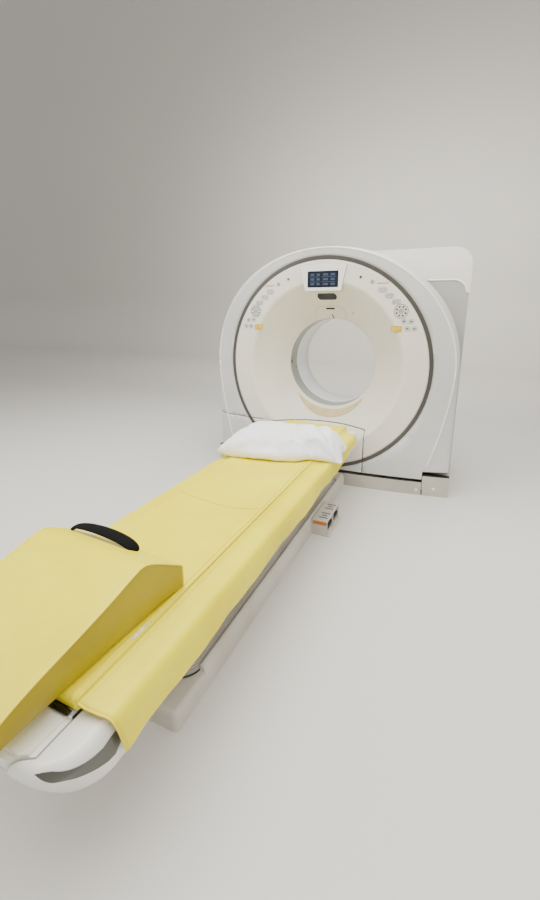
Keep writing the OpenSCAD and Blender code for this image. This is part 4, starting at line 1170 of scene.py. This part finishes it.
def make_handle():
    """A padded webbing handle: a flat arch, thicker along its middle."""
    middle, back, seat = HANDLE_AT
    rings = []
    for i in range(HANDLE_RINGS + 1):
        t = math.radians(4 + 172 * i / HANDLE_RINGS)
        y = HANDLE_HALF * math.cos(t) + middle
        z = HANDLE_FOOT + HANDLE_RISE * math.sin(t) ** 0.8
        out = Vector((HANDLE_RISE * math.cos(t), HANDLE_HALF * math.sin(t))).normalized()
        full = math.sin(math.pi * ((i + 1) / (HANDLE_RINGS + 2)) ** 0.7) ** 0.5
        half, thick = 0.006 + 0.017 * full, 0.0018 + 0.0065 * full
        ring = []
        for a in [2 * math.pi * k / RING_POINTS for k in range(RING_POINTS)]:
            lift = thick * math.sin(a)
            ring.append((WEDGE_W / 2 - HANDLE_LEFT + y + out.x * lift, back + half * math.cos(a),
                         seat + z + out.y * lift))
        rings.append(ring)
    verts, faces = ring_skin(rings)
    faces += end_caps(RING_POINTS, len(verts))
    handle = new_piece("wedge_handle", verts, faces, black_webbing)
    on_wedge(handle)
    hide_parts("wedge_strap")
    return handle

handle = make_handle()
print("handle faces", len(handle.data.polygons))

# %% [markdown]
# ## The pillow
# A big soft pillow lies across the mat. Its case is cut a little larger than its filling, so it
# wrinkles, its corners stay pointed, and its right end droops over the table's edge. A free cloth
# simulation could slide it anywhere. So its seam follows two measured edges, both faces are first
# puffed by a formula, pressure then rounds them, and folds fan out from the corner that is pulled.

# %% Pillow's shape
PILLOW_NEAR = [(-0.345, -1.386), (-0.220, -1.430), (-0.090, -1.430), (0.060, -1.405),
               (0.200, -1.352), (0.310, -1.235), (0.402, -1.130)]
PILLOW_FAR = [(-0.345, -0.848), (-0.220, -0.848), (-0.100, -0.842), (0.040, -0.834),
              (0.180, -0.830), (0.270, -0.832), (0.362, -0.850)]
PUFF_UP, PUFF_DOWN = 0.094, 0.0165
SEAM_Z, DROOP_X = 0.556, 0.235
ON_MAT, FLAP_X, PAST_FLAP_X, PAST_FLAP_Z = 0.5375, 0.250, 0.352, 0.497
PULLED_X, PULLED_Y = 0.52, -1.42


def along(points, u):
    """The point at a share u of a line of points."""
    s = u * (len(points) - 1)
    k = min(int(s), len(points) - 2)
    return blend(points[k], points[k + 1], s - k)


def seam_height(x):
    """Height of the pillow's seam: raised on the mat, drooping past the flap."""
    over = max(0.0, x - DROOP_X)
    return SEAM_Z - 1.9 * over * over - 0.12 * over


def case_point(u, v, layer):
    """A point of the upper (1) or lower (-1) face, before pressure rounds it."""
    x, y = blend(along(PILLOW_NEAR, u), along(PILLOW_FAR, u), v)
    tu = max(0.0, 1 - abs(2 * u - 1) ** (4.5 if u < 0.5 else 3.2))
    tv = max(0.0, 1 - abs(2 * v - 1) ** 2.6)
    puff = (tu * tv) ** 0.58
    fold = 0.006 * noise.noise(Vector((x * 7 + y * 5, y * 9 - x * 4, 3.0)))
    base = seam_height(x)
    if layer == 1:
        return (x, y, base + puff * PUFF_UP + fold * puff * 2.0)
    return (x, y, base - puff * PUFF_DOWN)


def crease_lift(x, y):
    """Height of the folds: long ones fan out from the pulled corner, small ones lie across."""
    bend = 0.8 * noise.noise(Vector((x * 5, y * 5, 8.0)))
    fan = math.atan2(y - PULLED_Y, PULLED_X - x)
    away = math.hypot(y - PULLED_Y, PULLED_X - x)
    crease = 1 - abs(noise.noise(Vector((fan * 7 + bend, away * 3.0, 2.0))))
    small = 1 - abs(noise.noise(Vector((x * 16 + bend, y * 22, 6.0))))
    near_right = 0.35 + 0.65 * min(1.0, max(0.0, (x + 0.25) / 0.4))
    return 0.046 * (crease - 0.80) * near_right + 0.012 * (small - 0.8)

print("seam at the left", seam_height(-0.3), "and at the right", seam_height(0.4))

# %% Pillow
def case_mesh(nu, nv):
    """Two grids of points that share their rim, and their faces."""
    verts, faces, index = [], [], {}
    for layer in (1, -1):
        for i in range(nu + 1):
            for j in range(nv + 1):
                if layer == -1 and (i in (0, nu) or j in (0, nv)):
                    index[(-1, i, j)] = index[(1, i, j)]
                    continue
                index[(layer, i, j)] = len(verts)
                verts.append(case_point(i / nu, j / nv, layer))
    for layer in (1, -1):
        for i in range(nu):
            for j in range(nv):
                quad = [index[(layer, *at)] for at in ((i, j), (i + 1, j), (i + 1, j + 1),
                                                       (i, j + 1))]
                faces.append(quad[::layer])
    corners = [Vector(verts[index[(1, i, j)]]) for i in (0, nu) for j in (0, nv)]
    return verts, faces, corners


def make_pillow(nu=64, nv=44):
    verts, faces, corners = case_mesh(nu, nv)
    pillow = new_piece("pillow_case", verts, faces, white_cotton)
    swell(pillow, lambda p: min((p - c).length for c in corners) < 0.004, 6.0, 0.022, 18, -0.09)
    for v in pillow.data.vertices:
        lowest = ON_MAT - min(0.034, 0.9 * max(0.0, v.co.x - FLAP_X))
        v.co.z = max(v.co.z, lowest if v.co.x < PAST_FLAP_X else PAST_FLAP_Z)
        top = min(1.0, max(0.0, (v.co.z - SEAM_Z) / 0.05))
        v.co.z += crease_lift(v.co.x, v.co.y) * top
    pillow.data.materials.append(cream_hem)
    for face in list(pillow.data.polygons)[::nv]:
        face.material_index = 1
    subdivide(pillow)
    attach(pillow, "cradle_body")
    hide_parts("pillow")
    return pillow

pillow = make_pillow()
print("pillow faces", len(pillow.data.polygons))

# %% [markdown]
# ## Controls and print
# The keypads are printed films on the bowed cover, the same on both sides. A picture laid on as a
# texture would blur close up, so each symbol is a plain field, ring or bar of its real size, cut
# as a thin sheet that floats just over the surface it is printed on. Each one sits at a distance
# in from the dark ring and at an angle, which is how such a panel is laid out.

# %% Print tools
RING_INNER = 0.808   # the dark ring's inner radius
# How far each print stands before the bowed cover, over what lies below it.
LABEL_PRINT, COVER_PRINT, PAD_PRINT = 0.0011, 0.0013, 0.0015
TRIM_PRINT, KEY_PRINT = 0.0019, 0.0043
prints = {}


def tangent(x, z, du, dv, proud):
    """A point on the plane that touches the bowed cover at (x, z)."""
    a = math.asin(x / BOW)
    return (x + du * math.cos(a) + proud * math.sin(a),
            bow_y(x) + du * math.sin(a) - proud * math.cos(a), z + dv)


def add_field(key, place, outline, proud):
    """A filled outline, given in metres about its place."""
    verts, faces = prints.setdefault(key, ([], []))
    start = len(verts)
    verts += [tangent(*place, du, dv, proud) for du, dv in outline]
    faces.append(tuple(range(start, start + len(outline))))


def add_ring(key, place, outer, inner, proud):
    verts, faces = prints.setdefault(key, ([], []))
    start, n = len(verts), len(outer)
    verts += [tangent(*place, du, dv, proud) for du, dv in outer + inner]
    faces += [(start + i, start + (i + 1) % n, start + n + (i + 1) % n, start + n + i)
              for i in range(n)]


def circle(r, cx=0.0, cz=0.0, n=28):
    return [(cx + r * math.cos(2 * math.pi * i / n), cz + r * math.sin(2 * math.pi * i / n))
            for i in range(n)]


def box(w, h):
    return [(-w / 2, -h / 2), (w / 2, -h / 2), (w / 2, h / 2), (-w / 2, h / 2)]


def pill(w, h, n=12):
    r = h / 2
    side = [(w / 2 - r + r * math.cos(a), r * math.sin(a))
            for a in [math.pi * (i / n - 0.5) for i in range(n + 1)]]
    return side + [(-x, -z) for x, z in side]


def spot(s, inward_mm, degrees):
    """Where a control sits: its distance in from the dark ring, and its angle."""
    r, a = RING_INNER - inward_mm / 1000, math.radians(degrees)
    return (s * r * math.cos(a), AXIS + r * math.sin(a))


def ink(name, colour, shade, roughness=0.4, peel=0.02):
    """Screen-printed ink: flat and even, with hardly any texture."""
    return sprayed_cover(name, colour, shade, roughness, 3.0, peel, edge_mm=0.2)

# Screen inks on film: flat and even, dull enough to read from the side.
ink_grey = ink("print_dark_grey", "#262726", "#222322")
ink_mid = ink("print_mid_grey", "#6E6F6C", "#686966")
ink_red = ink("print_red", "#B5303A", "#A52A33")
ink_yellow = ink("print_yellow", "#E4C000", "#D8B400")
ink_orange = ink("print_orange", "#C77B2C", "#B86F25", 0.5)
# The display behind its glass: deeper and glossier than ink, with the values in slate blue.
ink_blue = ink("screen_slate_blue", "#3E4C66", "#36435B", 0.3, 0.01)
ink_navy = ink("screen_navy", "#141C2C", "#101726", 0.2, 0.01)
# A matt darker grey on a moulded line: painted shade, so the line reads as a shadow.
arch_line_shade_grey = ink("seam_shadow_grey", "#A39C8E", "#978F81", 0.7)
print("print finishes ready")

# %% Control panels
def print_lamps(s, dark, mid, red):
    """The small speaker, the lamp beside it and the red bar below them."""
    speaker, lamp = spot(s, 76.2, 67.1), spot(s, 69.6, 59.9)
    add_field(dark, speaker, circle(0.0085), TRIM_PRINT)
    add_field(mid, speaker, circle(0.0030), TRIM_PRINT + 0.0003)
    add_ring(mid, lamp, circle(0.0150), circle(0.0125), TRIM_PRINT)
    add_field(mid, lamp, circle(0.0070), TRIM_PRINT)
    add_field(red, spot(s, 36.6, 54.5), box(0.082, 0.0055), COVER_PRINT)


def print_rockers(s, side):
    """A pill with two rings and a bar on each rocker key, which moves with its key."""
    for i, (inward, angle) in enumerate(((71.6, 52.7), (72.6, 47.6), (67.5, 42.5))):
        key = (f"rocker_{side}_{i + 1}_body", side, ink_grey)
        place = spot(s, inward, angle)
        add_ring(key, place, pill(0.062, 0.032), pill(0.056, 0.026), KEY_PRINT)
        for shift in (-0.0135, 0.0135):
            add_ring(key, place, circle(0.0085, shift), circle(0.0045, shift), KEY_PRINT)
        add_field(key, place, box(0.0035, 0.016), KEY_PRINT)


def print_pads(s, dark, mid):
    """The round pad with eight dots, and the four small keys below it."""
    pad = spot(s, 81.6, 36.5)
    add_ring(dark, pad, circle(0.0500, n=48), circle(0.0475, n=48), PAD_PRINT)
    for k in range(8):
        a = math.radians(22.5 + 45 * k)
        add_field(dark, pad, circle(0.0068, 0.033 * math.cos(a), 0.033 * math.sin(a), 16),
                  PAD_PRINT)
    add_ring(dark, pad, circle(0.0150), circle(0.0110), PAD_PRINT)
    add_field(dark, pad, circle(0.0050), PAD_PRINT)
    for inward, angle in ((100.4, 30.8), (58, 28.7), (102.3, 26.06), (58.8, 24.4)):
        place = spot(s, inward, angle)
        add_ring(mid, place, circle(0.0178), circle(0.0155), TRIM_PRINT)
        add_field(dark, place, box(0.015, 0.010), TRIM_PRINT)


def print_stop_label(s, dark, yellow):
    """The yellow label, open where the stop button passes through it, and its dark line."""
    label, stop = spot(s, 171.6, 28.7), spot(s, 159.3, 28.1)
    shift_x, shift_z = label[0] - stop[0], label[1] - stop[1]
    edge = []
    for cx, cz in circle(1.0, n=48):
        reach = min((0.038 + math.copysign(shift_x, cx * shift_x)) / max(abs(cx), 1e-6),
                    (0.021 + math.copysign(shift_z, cz * shift_z)) / max(abs(cz), 1e-6))
        edge.append((cx * reach, cz * reach))
    add_ring(yellow, stop, edge, circle(0.0152, n=48), LABEL_PRINT)
    add_ring(dark, label, box(0.075, 0.041), box(0.072, 0.038), COVER_PRINT)


def make_prints():
    """One piece for each body, side and ink."""
    for (body, side, finish), (verts, faces) in prints.items():
        short = finish.name.replace("print_", "")
        piece = new_piece(f"print_{body}_{side}_{short}", verts, faces, finish, smooth=False)
        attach(piece, body)
    return len(prints)

for s, side in ((1, "right"), (-1, "left")):
    dark, mid, red, yellow = [("tilting_gantry", side, finish)
                              for finish in (ink_grey, ink_mid, ink_red, ink_yellow)]
    print_lamps(s, dark, mid, red)
    print_rockers(s, side)
    print_pads(s, dark, mid)
    print_stop_label(s, dark, yellow)
print("print pieces", make_prints())

# %% [markdown]
# ## The display
# The screen shows three rows of values on dark blue. At this size its values read as bars and
# fields, so they are flat sheets a hair's breadth before the glass, which keeps them crisp.

# %% Display
def rectangles(name, fields, put, finish, body):
    """Flat rectangles, each given as its middle and size; put turns a corner into a place."""
    corners = [put(x + u, y + v) for x, y, w, h in fields for u, v in box(w, h)]
    faces = [tuple(range(i, i + 4)) for i in range(0, len(corners), 4)]
    piece = new_piece(name, corners, faces, finish, smooth=False)
    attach(piece, body)
    return piece


def on_screen(name, fields, proud, finish):
    rectangles(name, fields, lambda x, z: (x, screen_y - proud, z), finish, "tilting_gantry")

(_, screen_y, screen_low), (_, _, screen_high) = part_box("display_screen")
SCREEN_Z = (screen_low + screen_high) / 2
on_screen("screen_field", [(0, SCREEN_Z, 0.228, 0.106)], 0.0004, ink_navy)
on_screen("screen_bars", [(x, SCREEN_Z + z, w, 0.004) for z in (-0.018, 0.018)
                          for x, w in ((-0.064, 0.080), (0.044, 0.110))], 0.0007, ink_blue)
on_screen("screen_values", [(x, SCREEN_Z + z, w, h)
                            for z, h in ((0.034, 0.015), (0.0, 0.016), (-0.034, 0.014))
                            for x, w in ((-0.082, 0.030), (-0.036, 0.026), (0.022, 0.040),
                                         (0.078, 0.034))], 0.0007, ink_blue)
print("screen middle at", SCREEN_Z)

# %% [markdown]
# ## Lines and beads on the covers
# A moulded arch frames the small window below the display, and a dark square marks the laser's
# port in the tunnel. Lines as fine as these get lost in a bump texture, so each is a thin cord
# half sunk in the cover; the arch's darker grey is painted shade. The housing's crease and the
# shelf's lip are rounded the same way, and their brighter paint is a painted highlight.

# %% Arch line and laser port
ARCH_R, ARCH_HALF, ARCH_FOOT_R, ARCH_CORNER = 0.474, 0.128, 0.392, 0.02
PORT_R, PORT_START, PORT_WIDTH, PORT_FACES = 0.3735, 178.9, 4.0, 5


def on_gantry(piece):
    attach(piece, "tilting_gantry")
    return piece


def make_arch_line():
    top = AXIS + math.sqrt(ARCH_R ** 2 - ARCH_HALF ** 2)
    foot = AXIS + math.sqrt(ARCH_FOOT_R ** 2 - ARCH_HALF ** 2)
    start = math.degrees(math.acos(ARCH_HALF / ARCH_R)) + 3
    path = [(-ARCH_HALF, z) for z in steps(foot, top - ARCH_CORNER, 8)]
    path += [(ARCH_R * math.cos(math.radians(a)), AXIS + ARCH_R * math.sin(math.radians(a)))
             for a in steps(180 - start, start, 30)]
    path += [(ARCH_HALF, z) for z in steps(top - ARCH_CORNER, foot, 8)]
    # The cord's darker grey is painted shade along the moulded line.
    return on_gantry(tube("moulded_arch_line", [cover_point(x, z, 0.0002) for x, z in path],
                          0.0012, arch_line_shade_grey))


def make_laser_port():
    angles = [math.radians(PORT_START + PORT_WIDTH * k / PORT_FACES)
              for k in range(PORT_FACES + 1)]
    verts, faces = ring_skin([[(PORT_R * math.cos(a), y, AXIS + PORT_R * math.sin(a))
                               for a in angles] for y in (-0.066, -0.036)], closed=False)
    return on_gantry(new_piece("laser_port_film", verts, faces, black_gloss))

arch_line = make_arch_line()
make_laser_port()
print("arch line faces", len(arch_line.data.polygons))

# %% Edge bead, shelf lip and bezel line
# A smoother paint, and brighter as a painted highlight for the line of light the rounded edges
# catch.
edge_highlight_paint = sprayed_cover("housing_edge_paint", "#F4F5F3", "#ECEDEB", 0.28, 3.0, 0.02)
BEAD_LOW, BEAD_R, LIP_R = 0.20, 0.0050, 0.0065
SHELF_X, SHELF_Y, SHELF_Z, SHELF_CORNER, SHELF_END = 0.900, 0.0752, 1.636, 0.101, 0.72


def make_edge_beads():
    """The rounded front edge of the housing, brighter as a painted highlight of its line of light.
    """
    for name, points in (("housing_edge_bead_top", CREASE[:161]),
                         ("housing_edge_bead_left", CREASE[160:184]),
                         ("housing_edge_bead_right", CREASE[223:] + CREASE[:1])):
        path = [(x, bow_y(x) + 0.0012, AXIS + z) for x, z in points if AXIS + z > BEAD_LOW]
        on_gantry(tube(name, path, BEAD_R, edge_highlight_paint, sides=10))


def make_shelf_lip():
    """The rear top cover's rounded lower lip over the shelf and its corner, in painted highlight.
    """
    low = SHELF_Z - SHELF_CORNER
    path = [(x, SHELF_Y, SHELF_Z) for x in steps(SHELF_END, SHELF_X, 8)]
    path += [(SHELF_X + SHELF_CORNER * math.sin(a), SHELF_Y, low + SHELF_CORNER * math.cos(a))
             for a in [math.radians(d) for d in range(10, 91, 10)]]
    on_gantry(tube("shelf_lip", path, LIP_R, edge_highlight_paint, sides=10))


def make_bezel_line():
    """The shadow line round the display's bezel."""
    (_, _, low), (_, _, high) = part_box("display_bezel")
    corners = [(-0.140, low), (0.140, low), (0.182, high - 0.012), (0.120, high - 0.004),
               (0, high), (-0.120, high - 0.004), (-0.182, high - 0.012)]
    path = [blend(a, b, k / 8) for a, b in zip(corners, corners[1:] + corners[:1])
            for k in range(8)]
    return on_gantry(tube("bezel_shadow_line", [cover_point(x, z, 0.0005) for x, z in path],
                          0.0016, ink_mid, closed=True))

make_edge_beads()
make_shelf_lip()
bezel_line = make_bezel_line()
print("bezel line faces", len(bezel_line.data.polygons))

# %% [markdown]
# ## Small parts of the base
# Two pale plugs close the base's screw holes. A black strip in the gap under the nested covers
# is painted shade.
# The pedal box carries an orange strip and two groups of black symbols on its top. A plug sits on
# whatever surface the solid has there, so a ray cast from the front finds its place.

# %% Base details
PLUGS = (("plinth_front", 0.790, 0.040), ("side_blocks", 0.915, 0.062))
GAP_SHADE_HALF, GAP_SHADE_FOOT, GAP_SHADE_HEAD, GAP_SHADE_CORNER = 0.2068, 2.4598, 2.30, 0.090
GAP_SHADE_LOW, GAP_SHADE_HIGH = 0.0826, 0.0922
PEDAL_TOP, SYMBOL_X, SYMBOL_STEP = 0.1034, 0.290, 0.030


def on_front_of(name, x, z):
    """The foremost point of a CAD part at a place, seen from the table."""
    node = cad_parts[name]
    to_local = node.matrix_world.inverted()
    hit, point, _, _ = node.ray_cast(to_local @ Vector((x, -2.0, z)),
                                     to_local.to_3x3() @ Vector((0, 1, 0)))
    return (node.matrix_world @ point).y if hit else FRONT


def make_plugs():
    outline = circle(1.0, n=24)
    for part, x, z in PLUGS:
        y = on_front_of(part, x, z)
        rings = [[(x + r * cx, y - h, z + r * cz) for cx, cz in outline]
                 for r, h in ((0.0125, 0.0001), (0.0115, 0.0016), (0.006, 0.0022))]
        verts, faces = ring_skin(rings)
        faces.append(tuple(range(2 * len(outline), 3 * len(outline))))
        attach(new_piece(f"screw_plug_{part}", verts, faces, cream_abs), "floor_base")


def rounded_foot(half, foot, head, r, n=10):
    """A plan outline with two rounded corners at the foot end, open at the head."""
    right = [(half, -head)] + [(half - r + r * math.cos(a), -(foot - r) - r * math.sin(a))
                               for a in [math.pi / 2 * k / n for k in range(n + 1)]]
    return right + [(-x, y) for x, y in reversed(right)]


# A black strip in the gap under the nested covers: painted shade, as the gap lies in shadow.
def make_gap_shade():
    outline = rounded_foot(GAP_SHADE_HALF, GAP_SHADE_FOOT, GAP_SHADE_HEAD, GAP_SHADE_CORNER)
    verts, faces = ring_skin([[(x, y, z) for x, y in outline] for z in (GAP_SHADE_LOW, GAP_SHADE_HIGH)],
                             closed=False)
    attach(new_piece("cover_gap_seal", verts, faces, pedal_rubber), "floor_base")


def make_pedal_print():
    symbols = [(SYMBOL_X, group + SYMBOL_STEP * k, w, h) for group in (-1.130, -1.000)
               for k, (w, h) in enumerate(((0.060, 0.012), (0.034, 0.012), (0.060, 0.012)))]
    rectangles("pedal_symbols", symbols, lambda x, y: (x, y, PEDAL_TOP), ink_grey, "floor_base")
    low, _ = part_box("pedal_housing")
    verts = [(x, low[1] - 0.0004, z) for x, z in
             ((0.236, 0.074), (0.328, 0.074), (0.328, 0.099), (0.236, 0.099))]
    label = new_piece("pedal_label", verts, [(0, 1, 2, 3)], ink_orange, smooth=False)
    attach(label, "floor_base")

make_plugs()
make_gap_shade()
make_pedal_print()
print("base details ready")
